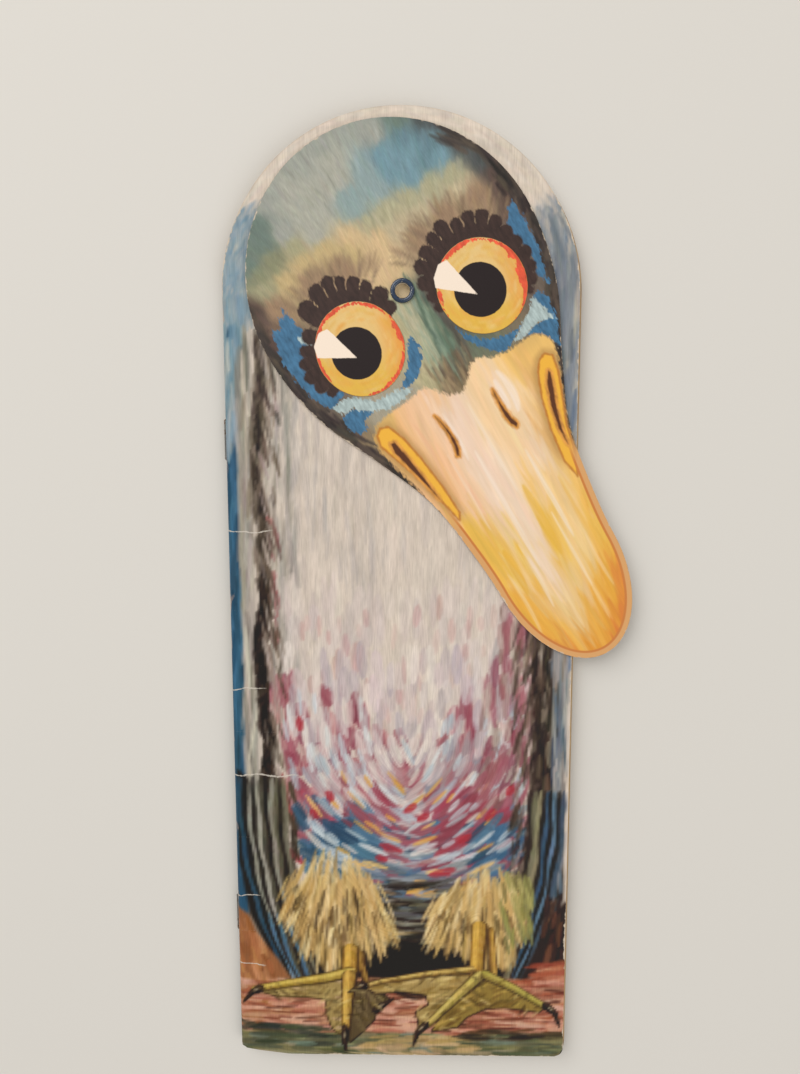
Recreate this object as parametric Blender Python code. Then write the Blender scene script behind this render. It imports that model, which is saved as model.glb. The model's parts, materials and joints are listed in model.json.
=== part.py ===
"""A die-cut picture book in the shape of a long-billed bird, lying closed on its back cover.

The book is an arch-topped booklet: one folded cover, three nested folded sheets that make six leaves, and
two wire staples through the fold. The bird's head is a separate card on the front cover, held by a rolled
metal eyelet that it turns on. X runs from the spine to the fore edge, Y from the bird's feet to its crown
and Z up, out of the front cover. The origin is the centre of the back cover's outside face.
"""

import math

import bmesh
import bpy
from mathutils import Matrix, Vector

MM = 0.001

# Driving dimensions, in millimetres.
BOOK_WIDTH = 104.0
BOOK_HEIGHT = 291.0
COVER_THICKNESS = 0.5
LEAF_THICKNESS = 0.25
HEAD_THICKNESS = 0.5
LEAF_COUNT = 6
AIR_GAP = 0.3
EYELET_SPACE = 0.9

CORNER_RADIUS = 3.0
SPINE_CORNER_LENGTH = 18.0
SPINE_CORNER_RISE = 2.2
SPINE_CORNER_LEAST_RADIUS = 0.8
CREEP_PER_SHEET = 0.3

SPINE_RADIUS = 1.6
COVER_START = 0.3
LEAF_START = 1.9
SPINE_HALF_ANGLE = math.radians(84.0)

PIVOT_X = 0.8
PIVOT_ABOVE_ARCH_CENTRE = 1.0
HEAD_TILT = math.radians(30.0)
CROWN_CENTRE = -3.0
CROWN_HALF_WIDTH = 43.2
CROWN_HALF_HEIGHT = 45.5
BILL_CENTRE = 92.0
BILL_HALF_WIDTH = 19.1
BILL_TIP_LENGTH = 31.0
# Half widths of the cheeks and bill, as (distance from the pivot towards the bill's tip, half width).
CHEEKS = ((-3.0, 43.2), (20.0, 39.5), (39.5, 30.6), (57.0, 23.4), (77.0, 20.1), (92.0, 19.1))

EYELET_BARREL_RADIUS = 2.45
EYELET_WALL = 0.3
EYELET_FLANGE_RADIUS = 3.5
EYELET_HEAD_RISE = 0.55
EYELET_CLINCH_RADIUS = 3.3
EYELET_CLINCH_DROP = 0.35
EYELET_CLINCH_GAP = 0.1
EYELET_LIP_ANGLE = math.radians(10.0)
RUNNING_CLEARANCE = 0.1

WIRE_DIAMETER = 0.45
STAPLE_CROWN = 12.0
STAPLE_CLINCH = 4.5
STAPLE_CLINCH_OFFSET = 0.05
STAPLE_BEND_RADIUS = 0.5
STAPLE_GAP = 0.1
STAPLE_HOLE = 0.9
STAPLE_HEIGHTS = (52.0, -98.0)

# Segment counts of the round stretches.
ARCH_SEGMENTS = 72
CORNER_SEGMENTS = 8
HOLE_SEGMENTS = 48
CROWN_SEGMENTS = 64
CHEEK_SEGMENTS = 12
BILL_SEGMENTS = 40
SPINE_SEGMENTS = 20
BEAD_SEGMENTS = 12
BEND_SEGMENTS = 5

# Sizes worked out from those above.
HALF_WIDTH = BOOK_WIDTH / 2
BOTTOM = -BOOK_HEIGHT / 2
ARCH_CENTRE_Y = BOOK_HEIGHT / 2 - HALF_WIDTH
PIVOT_Y = ARCH_CENTRE_Y + PIVOT_ABOVE_ARCH_CENTRE
LEAF_PITCH = LEAF_THICKNESS + AIR_GAP
COVER_BOTTOM = COVER_THICKNESS + AIR_GAP + LEAF_COUNT * LEAF_PITCH - AIR_GAP + EYELET_SPACE
COVER_TOP = COVER_BOTTOM + COVER_THICKNESS
HEAD_BOTTOM = COVER_TOP + AIR_GAP
HEAD_TOP = HEAD_BOTTOM + HEAD_THICKNESS
SPINE_X = -HALF_WIDTH + SPINE_RADIUS
SPINE_Z = COVER_TOP / 2


def clear_scene():
    for old in list(bpy.data.objects):
        bpy.data.objects.remove(old, do_unlink=True)


def material(name, colour, roughness, metallic=0.0):
    made = bpy.data.materials.new(name)
    made.use_nodes = True
    shader = made.node_tree.nodes["Principled BSDF"]
    shader.inputs["Base Color"].default_value = (*colour, 1.0)
    shader.inputs["Roughness"].default_value = roughness
    shader.inputs["Metallic"].default_value = metallic
    return made


def empty(name, location, parent=None):
    """An empty on a joint's axis, which carries the pieces that turn about it."""
    made = bpy.data.objects.new(name, None)
    bpy.context.scene.collection.objects.link(made)
    made.location = Vector(location) * MM
    if parent:
        hold(made, parent)
    return made


def hold(child, parent):
    """Parents child to parent and leaves it where it is."""
    bpy.context.view_layer.update()
    child.parent = parent
    child.matrix_parent_inverse = parent.matrix_world.inverted()


def arc(centre, radii, start, end, segments):
    """Points on an ellipse's arc from angle start to angle end, both ends included."""
    angles = [start + (end - start) * i / segments for i in range(segments + 1)]
    return [(centre[0] + radii[0] * math.cos(a), centre[1] + radii[1] * math.sin(a)) for a in angles]


def without_repeats(points):
    """The outline with no point on top of the one before it."""
    least = 1e-4
    return [p for p, before in zip(points, points[-1:] + points[:-1]) if math.dist(p, before) > least]


def book_outline(left, creep=0.0):
    """The arch-topped outline, anticlockwise, from a straight left side at x = left."""
    right = HALF_WIDTH + creep
    rise_at_left = left + SPINE_CORNER_LENGTH
    arch_end = math.acos((left - creep) / HALF_WIDTH)
    outline = arc(
        (rise_at_left, BOTTOM + SPINE_CORNER_RISE),
        (SPINE_CORNER_LENGTH, SPINE_CORNER_RISE),
        math.pi,
        1.5 * math.pi,
        CORNER_SEGMENTS,
    )
    outline += arc(
        (right - CORNER_RADIUS, BOTTOM + CORNER_RADIUS),
        (CORNER_RADIUS, CORNER_RADIUS),
        -math.pi / 2,
        0.0,
        CORNER_SEGMENTS,
    )
    outline += arc((creep, ARCH_CENTRE_Y), (HALF_WIDTH, HALF_WIDTH), 0.0, arch_end, ARCH_SEGMENTS)
    return without_repeats(outline)


def cheek_half_width(v):
    """The head's half width between crown and bill: cubic pieces through CHEEKS, level at both ends."""
    slopes = [0.0]
    for before, after in zip(CHEEKS[:-2], CHEEKS[2:]):
        slopes.append((after[1] - before[1]) / (after[0] - before[0]))
    slopes.append(0.0)
    piece = max(i for i in range(len(CHEEKS) - 1) if v >= CHEEKS[i][0])
    (v0, w0), (v1, w1) = CHEEKS[piece], CHEEKS[piece + 1]
    span = v1 - v0
    t = (v - v0) / span
    return (
        w0 * (2 * t**3 - 3 * t**2 + 1)
        + slopes[piece] * span * (t**3 - 2 * t**2 + t)
        + w1 * (3 * t**2 - 2 * t**3)
        + slopes[piece + 1] * span * (t**3 - t**2)
    )


def head_outline():
    """The head upright about the pivot, anticlockwise, with y up and the bill pointing down."""
    crown = arc((0.0, -CROWN_CENTRE), (CROWN_HALF_WIDTH, CROWN_HALF_HEIGHT), 0.0, math.pi, CROWN_SEGMENTS)
    steps = [
        CHEEKS[i][0] + (CHEEKS[i + 1][0] - CHEEKS[i][0]) * k / CHEEK_SEGMENTS
        for i in range(len(CHEEKS) - 1)
        for k in range(CHEEK_SEGMENTS)
    ]
    left_cheek = [(-cheek_half_width(v), -v) for v in steps]
    bill = arc((0.0, -BILL_CENTRE), (BILL_HALF_WIDTH, BILL_TIP_LENGTH), math.pi, 2 * math.pi, BILL_SEGMENTS)
    right_cheek = [(-x, y) for x, y in reversed(left_cheek)]
    return without_repeats(crown + left_cheek + bill + right_cheek)


def circle(centre, radius, segments=HOLE_SEGMENTS):
    return arc(centre, (radius, radius), 0.0, 2 * math.pi, segments)[:-1]


def card(name, outline, thickness, bottom, finish, holes=()):
    """A flat card: a filled curve, extruded to its thickness, with its underside at height bottom."""
    curve = bpy.data.curves.new(name, "CURVE")
    curve.dimensions = "2D"
    curve.fill_mode = "BOTH"
    curve.extrude = thickness / 2 * MM
    for loop in (outline, *holes):
        spline = curve.splines.new("POLY")
        spline.points.add(len(loop) - 1)
        spline.use_cyclic_u = True
        for point, (x, y) in zip(spline.points, loop):
            point.co = (x * MM, y * MM, 0.0, 1.0)
    made = bpy.data.objects.new(name, curve)
    bpy.context.scene.collection.objects.link(made)
    made.location = (0.0, 0.0, (bottom + thickness / 2) * MM)
    curve.materials.append(finish)
    return made


def mesh_object(name, points, faces, finish):
    mesh = bpy.data.meshes.new(name)
    mesh.from_pydata([Vector(p) * MM for p in points], [], faces)
    mesh.materials.append(finish)
    made = bpy.data.objects.new(name, mesh)
    bpy.context.scene.collection.objects.link(made)
    return made


def extruded(name, section, start_y, end_y, finish):
    """A closed solid whose section, as (x, z) points anticlockwise seen along +Y, runs from start_y to end_y."""
    count = len(section)
    points = [(x, start_y, z) for x, z in section] + [(x, end_y, z) for x, z in section]
    sides = [(i, i + count, (i + 1) % count + count, (i + 1) % count) for i in range(count)]
    caps = [tuple(range(count)), tuple(range(2 * count - 1, count - 1, -1))]
    return mesh_object(name, points, sides + caps, finish)


def recalculated(made):
    """Points every face of the object's mesh outwards."""
    work = bmesh.new()
    work.from_mesh(made.data)
    bmesh.ops.recalc_face_normals(work, faces=work.faces)
    work.to_mesh(made.data)
    work.free()
    return made


def spine_fold(finish):
    """The folded back of the cover: a half-round strip along the straight part of the spine side."""
    start, end = math.pi - SPINE_HALF_ANGLE, math.pi + SPINE_HALF_ANGLE
    inner_radius = SPINE_RADIUS - COVER_THICKNESS
    outside = arc((SPINE_X, SPINE_Z), (SPINE_RADIUS, SPINE_RADIUS), start, end, SPINE_SEGMENTS)
    inside = arc((SPINE_X, SPINE_Z), (inner_radius, inner_radius), end, start, SPINE_SEGMENTS)
    bottom = BOTTOM + SPINE_CORNER_RISE + SPINE_CORNER_LEAST_RADIUS
    return recalculated(extruded("spine_fold", outside + inside, bottom, ARCH_CENTRE_Y, finish))


def punch(target, name, centre, size):
    """Cuts a square hole through target, centred on a point in millimetres."""
    half = size / 2
    corners = [(x, z) for x, z in ((-half, -half), (half, -half), (half, half), (-half, half))]
    section = [(centre[0] + 2 * x, centre[2] + z) for x, z in corners]
    cutter = recalculated(extruded(name, section, centre[1] - half, centre[1] + half, target.active_material))
    cutter.hide_render = True
    cutter.display_type = "WIRE"
    cut = target.modifiers.new(name, "BOOLEAN")
    cut.operation = "DIFFERENCE"
    cut.solver = "EXACT"
    cut.object = cutter


def turned_leg(corner, before, after, radius):
    """Points that round a corner of a wire with a quarter circle, between the directions before and after."""
    corner, before, after = Vector(corner), Vector(before), Vector(after)
    centre = corner - before * radius + after * radius
    points = []
    for i in range(BEND_SEGMENTS + 1):
        angle = math.pi / 2 * i / BEND_SEGMENTS
        points.append(centre + (before * math.sin(angle) - after * math.cos(angle)) * radius)
    return points


def staple(name, height, finish):
    """A wire staple: crown outside the fold, legs through it, ends bent towards each other inside."""
    crown_x = SPINE_X - SPINE_RADIUS - STAPLE_GAP - WIRE_DIAMETER / 2
    clinch_x = SPINE_X - STAPLE_CLINCH_OFFSET
    half = STAPLE_CROWN / 2
    bend = STAPLE_BEND_RADIUS
    inwards, up, down = (1, 0, 0), (0, 1, 0), (0, -1, 0)
    top, bottom = height + half, height - half
    route = [Vector((clinch_x, top - STAPLE_CLINCH, SPINE_Z))]
    route += turned_leg((clinch_x, top, SPINE_Z), up, (-1, 0, 0), bend)
    route += turned_leg((crown_x, top, SPINE_Z), (-1, 0, 0), down, bend)
    route += turned_leg((crown_x, bottom, SPINE_Z), down, inwards, bend)
    route += turned_leg((clinch_x, bottom, SPINE_Z), inwards, up, bend)
    route += [Vector((clinch_x, bottom + STAPLE_CLINCH, SPINE_Z))]
    curve = bpy.data.curves.new(name, "CURVE")
    curve.dimensions = "3D"
    curve.bevel_depth = WIRE_DIAMETER / 2 * MM
    curve.bevel_resolution = 3
    curve.use_fill_caps = True
    spline = curve.splines.new("POLY")
    spline.points.add(len(route) - 1)
    for point, place in zip(spline.points, route):
        point.co = (*(place * MM), 1.0)
    curve.materials.append(finish)
    made = bpy.data.objects.new(name, curve)
    bpy.context.scene.collection.objects.link(made)
    return made


def eyelet(finish):
    """A rolled eyelet: a tube through head and cover, its front rolled to a bead and its back clinched."""
    centre_radius = EYELET_BARREL_RADIUS - EYELET_WALL / 2
    front = (EYELET_FLANGE_RADIUS - EYELET_WALL / 2 - centre_radius) / 2
    back = (EYELET_CLINCH_RADIUS - EYELET_WALL / 2 - centre_radius) / 2
    front_z = HEAD_TOP + EYELET_WALL
    back_z = COVER_BOTTOM - EYELET_WALL / 2 - EYELET_CLINCH_GAP

    def wall(offset, backwards=False):
        bead = arc(
            (centre_radius + front, front_z),
            (front + offset, EYELET_HEAD_RISE - EYELET_WALL / 2 + offset),
            -EYELET_LIP_ANGLE,
            math.pi,
            BEAD_SEGMENTS,
        )
        clinch = arc(
            (centre_radius + back, back_z),
            (back + offset, EYELET_CLINCH_DROP - EYELET_WALL / 2 + offset),
            math.pi,
            2 * math.pi - EYELET_LIP_ANGLE,
            BEAD_SEGMENTS,
        )
        path = bead + clinch
        return path[::-1] if backwards else path

    profile = wall(EYELET_WALL / 2) + wall(-EYELET_WALL / 2, backwards=True)
    points, faces = [], []
    count = len(profile)
    for turn in range(HOLE_SEGMENTS):
        angle = 2 * math.pi * turn / HOLE_SEGMENTS
        points += [
            (PIVOT_X + r * math.cos(angle), PIVOT_Y + r * math.sin(angle), z) for r, z in profile
        ]
        here, following = turn * count, (turn + 1) % HOLE_SEGMENTS * count
        for i in range(count):
            after = (i + 1) % count
            faces.append((here + i, following + i, following + after, here + after))
    made = recalculated(mesh_object("eyelet", points, faces, finish))
    made.data.shade_smooth()
    made.data.set_sharp_from_angle(angle=math.radians(40.0))
    return made


def head_card(finish, hinge):
    """The bird's head, tilted to one side on the eyelet, as the book is kept."""
    made = card(
        "head_card",
        head_outline(),
        HEAD_THICKNESS,
        HEAD_BOTTOM,
        finish,
        [circle((0.0, 0.0), EYELET_BARREL_RADIUS + RUNNING_CLEARANCE)],
    )
    made.matrix_world = (
        Matrix.Translation(Vector((PIVOT_X, PIVOT_Y, HEAD_BOTTOM + HEAD_THICKNESS / 2)) * MM)
        @ Matrix.Rotation(HEAD_TILT, 4, "Z")
    )
    hold(made, hinge)
    return made


def main():
    clear_scene()
    cover_card = material("printed_cover_card", (0.56, 0.53, 0.47), 0.55)
    paper = material("uncoated_paper", (0.72, 0.62, 0.48), 0.85)
    head_stock = material("printed_head_card", (0.45, 0.42, 0.25), 0.5)
    enamel = material("blue_black_enamelled_steel", (0.02, 0.03, 0.07), 0.25, 0.6)
    wire = material("tinned_steel_wire", (0.55, 0.54, 0.52), 0.35, 1.0)

    fold_axis = (SPINE_X, 0.0, SPINE_Z)
    cover_hinge = empty("front_cover_hinge", fold_axis)
    spine_hinge = empty("spine_hinge", fold_axis)
    head_hinge = empty("head_hinge", (PIVOT_X, PIVOT_Y, HEAD_BOTTOM), cover_hinge)

    card("back_cover", book_outline(SPINE_X + COVER_START), COVER_THICKNESS, 0.0, cover_card)
    front = card(
        "front_cover",
        book_outline(SPINE_X + COVER_START),
        COVER_THICKNESS,
        COVER_BOTTOM,
        cover_card,
        [circle((PIVOT_X, PIVOT_Y), EYELET_BARREL_RADIUS + RUNNING_CLEARANCE)],
    )
    hold(front, cover_hinge)
    hold(eyelet(enamel), cover_hinge)
    head_card(head_stock, head_hinge)

    for number in range(1, LEAF_COUNT + 1):
        sheet = min(number, LEAF_COUNT + 1 - number)
        bottom = COVER_THICKNESS + AIR_GAP + (LEAF_COUNT - number) * LEAF_PITCH
        outline = book_outline(SPINE_X + LEAF_START, CREEP_PER_SHEET * sheet)
        leaf = card(f"leaf_{number}", outline, LEAF_THICKNESS, bottom, paper)
        hold(leaf, empty(f"leaf_{number}_hinge", fold_axis))

    fold = spine_fold(cover_card)
    hold(fold, spine_hinge)
    for name, height in zip(("staple_upper", "staple_lower"), STAPLE_HEIGHTS):
        hold(staple(name, height, wire), spine_hinge)
        for side in (-1, 1):
            leg = height + side * (STAPLE_CROWN / 2)
            place = (SPINE_X - SPINE_RADIUS + COVER_THICKNESS / 2, leg, SPINE_Z)
            punch(fold, f"{name}_leg_hole_{side + 1}", place, STAPLE_HOLE)


main()
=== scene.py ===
# %% [markdown]
# A picture book cut to the shape of a long-billed bird. Its cover is one folded card, three nested sheets
# of paper are stapled into the fold, and the bird's head is a second card that turns on a rolled eyelet.
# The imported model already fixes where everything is. This lesson makes the fine surfaces around it: thin
# sheets that bend round a fold, a gouache painting printed on each card, and the wear that years of
# handling leave.

# %% Load the frame
import json
import math

import bmesh
import bpy
import numpy as np
from mathutils import Euler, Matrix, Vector


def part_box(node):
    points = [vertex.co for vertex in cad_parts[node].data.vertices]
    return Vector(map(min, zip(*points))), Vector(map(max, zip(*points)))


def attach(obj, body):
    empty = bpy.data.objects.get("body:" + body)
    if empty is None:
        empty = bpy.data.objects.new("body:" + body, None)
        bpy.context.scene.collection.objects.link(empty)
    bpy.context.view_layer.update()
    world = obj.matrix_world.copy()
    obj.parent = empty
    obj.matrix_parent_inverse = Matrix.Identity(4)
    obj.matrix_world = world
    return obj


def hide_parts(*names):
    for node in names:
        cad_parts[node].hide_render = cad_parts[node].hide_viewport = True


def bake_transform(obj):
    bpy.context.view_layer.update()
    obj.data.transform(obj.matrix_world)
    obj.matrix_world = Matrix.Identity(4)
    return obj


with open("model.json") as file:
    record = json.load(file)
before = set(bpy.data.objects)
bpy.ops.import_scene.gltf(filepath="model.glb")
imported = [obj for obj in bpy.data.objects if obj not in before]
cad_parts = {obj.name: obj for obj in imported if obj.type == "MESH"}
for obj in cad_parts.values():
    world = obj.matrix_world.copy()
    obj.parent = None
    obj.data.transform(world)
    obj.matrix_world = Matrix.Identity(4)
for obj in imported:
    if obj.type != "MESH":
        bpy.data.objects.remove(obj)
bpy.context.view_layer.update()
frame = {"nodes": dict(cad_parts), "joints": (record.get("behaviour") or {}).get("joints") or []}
MM = 0.001

# %% [markdown]
# Sizes come from the frame, in millimetres, so that they are easy to read beside a ruler. A thin sheet
# needs three numbers: where its plate lies, how thick it is, and how wide its fold is. The fold's axis is
# the joint's own axis.


# %% Sizes read from the frame
def box_mm(node):
    """A node's lowest and highest corners, in millimetres."""
    low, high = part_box(node)
    return np.array(low) / MM, np.array(high) / MM


joints = {joint["name"]: joint for joint in frame["joints"]}
SPINE_X, _, SPINE_Z = (value / MM for value in joints["cover_open"]["pos_m"])
PIVOT_X, PIVOT_Y, _ = (value / MM for value in joints["head_turn"]["pos_m"])
BACK_LOW = box_mm("back_cover")[0]
FRONT_LOW, FRONT_HIGH = box_mm("front_cover")
HEAD_LOW, HEAD_HIGH = box_mm("head_card")
EYELET_LOW, EYELET_HIGH = box_mm("eyelet")
FOLD_LOW = box_mm("spine_fold")[0]
RIGHT = FRONT_HIGH[0]
BOTTOM = FRONT_LOW[1]
ARCH_RADIUS = RIGHT
ARCH_CENTRE_Y = FRONT_HIGH[1] - ARCH_RADIUS
FOLD_RADIUS = SPINE_X - FOLD_LOW[0]
CARD = FRONT_HIGH[2] - FRONT_LOW[2]
PAPER = 0.2
print(f"cover {2 * RIGHT:.0f} x {FRONT_HIGH[1] - BOTTOM:.0f} mm, fold radius {FOLD_RADIUS:.2f} mm")

# %% [markdown]
# Gouache looks like gouache because every mark is one brush dab: a lens of colour, streaked by the
# bristles, that half covers what lies under it. So the pictures are painted the same way. A picture is a
# grid of colours, and a dab mixes its colour into the few points it reaches.


# %% The painter's tools
GRAIN = 0.3  # mm between a picture's points


def shade(code):
    """An sRGB hex colour as three numbers from 0 to 1."""
    return np.array([int(code[i : i + 2], 16) for i in (1, 3, 5)]) / 255.0


def ease(low, high, x):
    """0 below low, 1 above high, and 3tt - 2ttt between."""
    t = np.clip((x - low) / (high - low), 0, 1)
    return t * t * (3 - 2 * t)


def tinted(rng, code, spread):
    """A colour a little lighter or darker, warmer or cooler, than the one on the palette."""
    return np.clip(shade(code) + rng.normal(0, spread) + rng.normal(0, spread * 0.35, 3), 0, 1)


class Picture:
    """A painted sheet: a grid of sRGB colours with its first corner at (left, bottom)."""

    def __init__(self, left, right, bottom, top, ground):
        self.left, self.bottom = left, bottom
        across = left + GRAIN * np.arange(int((right - left) / GRAIN) + 1)
        along = bottom + GRAIN * np.arange(int((top - bottom) / GRAIN) + 1)
        self.x, self.y = np.meshgrid(across, along)
        self.rgb = np.ones(self.x.shape + (3,)) * shade(ground)

    def wash(self, cover, colour):
        """Mixes colour in wherever cover, from 0 to 1, says so."""
        tone = shade(colour) if isinstance(colour, str) else colour
        self.rgb += np.clip(cover, 0, 1)[..., None] * (tone - self.rgb)

    def near(self, x, y, reach):
        """The part of the grid within reach of a point."""
        column, row = (x - self.left) / GRAIN, (y - self.bottom) / GRAIN
        wide = reach / GRAIN
        rows = slice(max(int(row - wide), 0), max(int(row + wide) + 2, 0))
        return rows, slice(max(int(column - wide), 0), max(int(column + wide) + 2, 0))

    def at(self, x, y):
        """The picture's colour at points, mixed from the four grid points round each."""
        column = np.clip((x - self.left) / GRAIN, 0, self.x.shape[1] - 1.001)
        row = np.clip((y - self.bottom) / GRAIN, 0, self.x.shape[0] - 1.001)
        c, r = column.astype(int), row.astype(int)
        s, t = (column - c)[..., None], (row - r)[..., None]
        low = self.rgb[r, c] * (1 - s) + self.rgb[r, c + 1] * s
        high = self.rgb[r + 1, c] * (1 - s) + self.rgb[r + 1, c + 1] * s
        return low * (1 - t) + high * t

    def dab(self, x, y, angle, length, width, colour, bend=0.0, strength=0.9, bristle=0.3, phase=0.0):
        """One dab. Across it, cover is the lens width sqrt(1 - aa) less the distance from its middle line,
        which is a parabola bent by bend; the bristles' streaks are a sine across the width."""
        spot = self.near(x, y, length / 2 + abs(bend) * length + width)
        dx, dy = self.x[spot] - x, self.y[spot] - y
        if dx.size == 0:
            return
        a = (dx * math.cos(angle) + dy * math.sin(angle)) / (length / 2)
        c = -dx * math.sin(angle) + dy * math.cos(angle) - bend * length * a * a
        half = width / 2 * np.sqrt(np.clip(1 - a * a, 0, 1))
        cover = np.clip((half - np.abs(c)) / 0.5 + 0.5, 0, 1) * (np.abs(a) < 1)
        wave = np.sin(c * (9.0 / max(width, 0.8)) + phase + 3 * np.sin(a * 1.7 + phase))
        cover = cover * (1 - bristle * (0.5 + 0.5 * wave)) * strength
        tone = shade(colour) if isinstance(colour, str) else colour
        self.rgb[spot] += cover[..., None] * (tone - self.rgb[spot])


print("one dab reaches points", GRAIN, "mm apart")

# %% [markdown]
# Crisp shapes, such as an eye or a claw, are outlines of a few points. The signed distance to an outline
# says how far inside it a point is. A picture washes colour in where that distance is positive, and a
# material can cut a sharp edge at zero however coarse the mesh is.


# %% Distances to shapes
def polygon_distance(outline, x, y):
    """Signed distance to a closed outline, positive inside: the nearest edge's distance, with the sign
    from how many edges a ray to the right crosses."""
    nearest, inside = np.full(np.shape(x), 1e9), np.zeros(np.shape(x), bool)
    outline = list(outline)
    for (ax, ay), (bx, by) in zip(outline, outline[1:] + outline[:1]):
        ex, ey = bx - ax, by - ay
        t = np.clip(((x - ax) * ex + (y - ay) * ey) / (ex * ex + ey * ey), 0, 1)
        nearest = np.minimum(nearest, np.hypot(x - ax - t * ex, y - ay - t * ey))
        inside ^= ((ay > y) != (by > y)) & (x < ax + (y - ay) * ex / (ey or 1e-9))
    return np.where(inside, nearest, -nearest)


def ellipse_distance(ellipse, x, y):
    """Distance inside an ellipse near its edge: (1 - q) q over q's slope, where q is 1 on the edge."""
    cx, cy, a, b = ellipse
    q = np.hypot((x - cx) / a, (y - cy) / b)
    slope = np.hypot((x - cx) / a**2, (y - cy) / b**2)
    return (1 - q) * q / np.maximum(slope, 1e-6)


def finger_distance(start, end, radii, x, y):
    """Distance inside a rounded finger from start to end, whose radius goes from radii[0] to radii[1]."""
    ex, ey = end[0] - start[0], end[1] - start[1]
    t = np.clip(((x - start[0]) * ex + (y - start[1]) * ey) / (ex * ex + ey * ey), 0, 1)
    return radii[0] + (radii[1] - radii[0]) * t - np.hypot(x - start[0] - t * ex, y - start[1] - t * ey)


def any_of(outlines, x, y):
    """The distance inside whichever outline a point is deepest in."""
    return np.maximum.reduce([polygon_distance(outline, x, y) for outline in outlines])


def strokes(picture, rng, count, across, along, palette, length, width, angle, spread=0.03, strength=0.85,
            where=None, bristle=0.3):
    """Dabs strewn over a rectangle. palette gives each colour's share, angle each dab's direction."""
    names = list(palette)
    shares = np.array([palette[name] for name in names], float)
    shares /= shares.sum()
    for _ in range(count):
        x, y = rng.uniform(*across), rng.uniform(*along)
        colour = tinted(rng, names[rng.choice(len(names), p=shares)], spread)
        long, wide, phase = rng.uniform(*length), rng.uniform(*width), rng.uniform(0, 6.28)
        turn = (angle(x, y) if callable(angle) else angle) + rng.normal(0, 0.06)
        if where is None or where(x, y):
            picture.dab(x, y, turn, long, wide, colour, strength=strength, phase=phase, bristle=bristle)


# %% [markdown]
# The bird's breast hangs like a sack, so its feathers follow nested half ovals. One oval family gives both
# the direction of every dab and how far out it lies: 0 in the middle of the breast and 1 at its outline.
# The paint changes with that level, from pale grey through rose and blue to the dark under the wings.

# %% The breast's oval family
UPRIGHT = math.pi / 2
BREAST = (3.0, 60.0, 45.0, 166.0)


def breast_level(x, y):
    """0 at the breast's middle, 1 on its outline."""
    cx, cy, a, b = BREAST
    return np.sqrt(((x - cx) / a) ** 2 + ((y - cy) / b) ** 2)


def breast_angle(x, y):
    """The direction of a feather: upright on the chest, and leaning in to a level V down the belly. The
    lean is least at the sides."""
    lean = float(ease(-22, -92, y)) * (1 - 0.5 * min(abs(x - BREAST[0]) / 40, 1))
    return UPRIGHT - math.copysign(lean * UPRIGHT, x - BREAST[0])


def between(low, high):
    """A test for the points whose breast level is between low and high."""
    return lambda x, y: low < breast_level(x, y) < high


# %% [markdown]
# The body is painted from back to front, as a painter would: the blue and grey air at the sides, the rim
# behind the head, the pale breast, the darks at its sides, and then ring after ring of coloured dabs.


# %% Paint the air and the rim
def paint_air(p, rng):
    """Upright strips of blue, grey and cream at the sides, and curved strokes round the arch."""
    x, y = p.x, p.y
    sky = ease(58, 100, y)[..., None]
    p.wash(1 - ease(-48.8, -47.4, x), sky * shade("#8698a2") + (1 - sky) * shade("#2c5069"))
    p.wash(ease(-48.8, -47.6, x) * (1 - ease(-45.0, -43.4, x)), "#948e84")
    from_centre = np.hypot(x, y - ARCH_CENTRE_Y)
    p.wash(ease(92, 104, y) * ease(30, 40, from_centre), "#b9ab9a")
    p.wash(ease(-60, 80, y) * ease(41, 45, x) * (1 - ease(112, 126, y)), "#8b8f93")
    p.wash(ease(86, 96, y) * (1 - ease(108, 114, y)) * (1 - ease(-48, -44, x)), "#8b9699")
    strokes(p, rng, 300, (-53, -48.4), (-75, 75), {"#28495f": 4, "#37607a": 3, "#426e8b": 1, "#223b4b": 1},
            (14, 34), (1.0, 2.2), UPRIGHT, spread=0.02)
    strokes(p, rng, 150, (-53, -46), (48, 108), {"#6f8a98": 3, "#8f9fa5": 3, "#5a7c90": 2, "#a7a8a2": 2},
            (8, 18), (1.0, 2.0), lambda x, y: UPRIGHT - float(ease(93, 125, y)) * 0.7, strength=0.7)
    strokes(p, rng, 150, (-48.0, -44.6), (-62, 80), {"#9a9388": 4, "#878077": 2, "#aba295": 3, "#6f6a60": 1,
            "#c0b4a2": 2}, (10, 26), (0.8, 1.8), UPRIGHT)
    cream = ["#d3c4b3", "#dccdbc", "#c6b9ab", "#cfc4b6"]
    grey = ["#9b9c9b", "#7f8890", "#a9a59f", "#8a929b", "#b8aea0", "#6f7c8a"]
    blue = ["#8b999f", "#9aa3a4", "#76909f", "#ada99f", "#6a8799"]
    for turn in np.linspace(-0.1, math.pi + 0.1, 300):
        for radius in (51.0, 49.2, 47.4, 45.6, 44.0):
            mix = grey if turn < 0.6 else cream if turn < 2.66 else blue
            at = radius + rng.normal(0, 0.4)
            p.dab(at * math.cos(turn), ARCH_CENTRE_Y + at * math.sin(turn), turn + UPRIGHT,
                  rng.uniform(5, 12), rng.uniform(1.0, 2.0), tinted(rng, rng.choice(mix), 0.02),
                  bend=0.03, strength=0.5, phase=rng.uniform(0, 6))
    strokes(p, rng, 150, (43.5, 51.5), (-30, 112), {"#8f8f8e": 3, "#7c848c": 2, "#a59f97": 3, "#62748a": 2,
            "#b5aa9c": 1.4}, (8, 20), (0.9, 1.9), UPRIGHT)
    strokes(p, rng, 60, (44.5, 50.5), (62, 112), {"#747b84": 2, "#666e78": 2, "#868a8c": 2}, (8, 18),
            (0.9, 1.8), lambda x, y: UPRIGHT + float(ease(92, 125, y)) * 0.7, strength=0.7)


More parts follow.
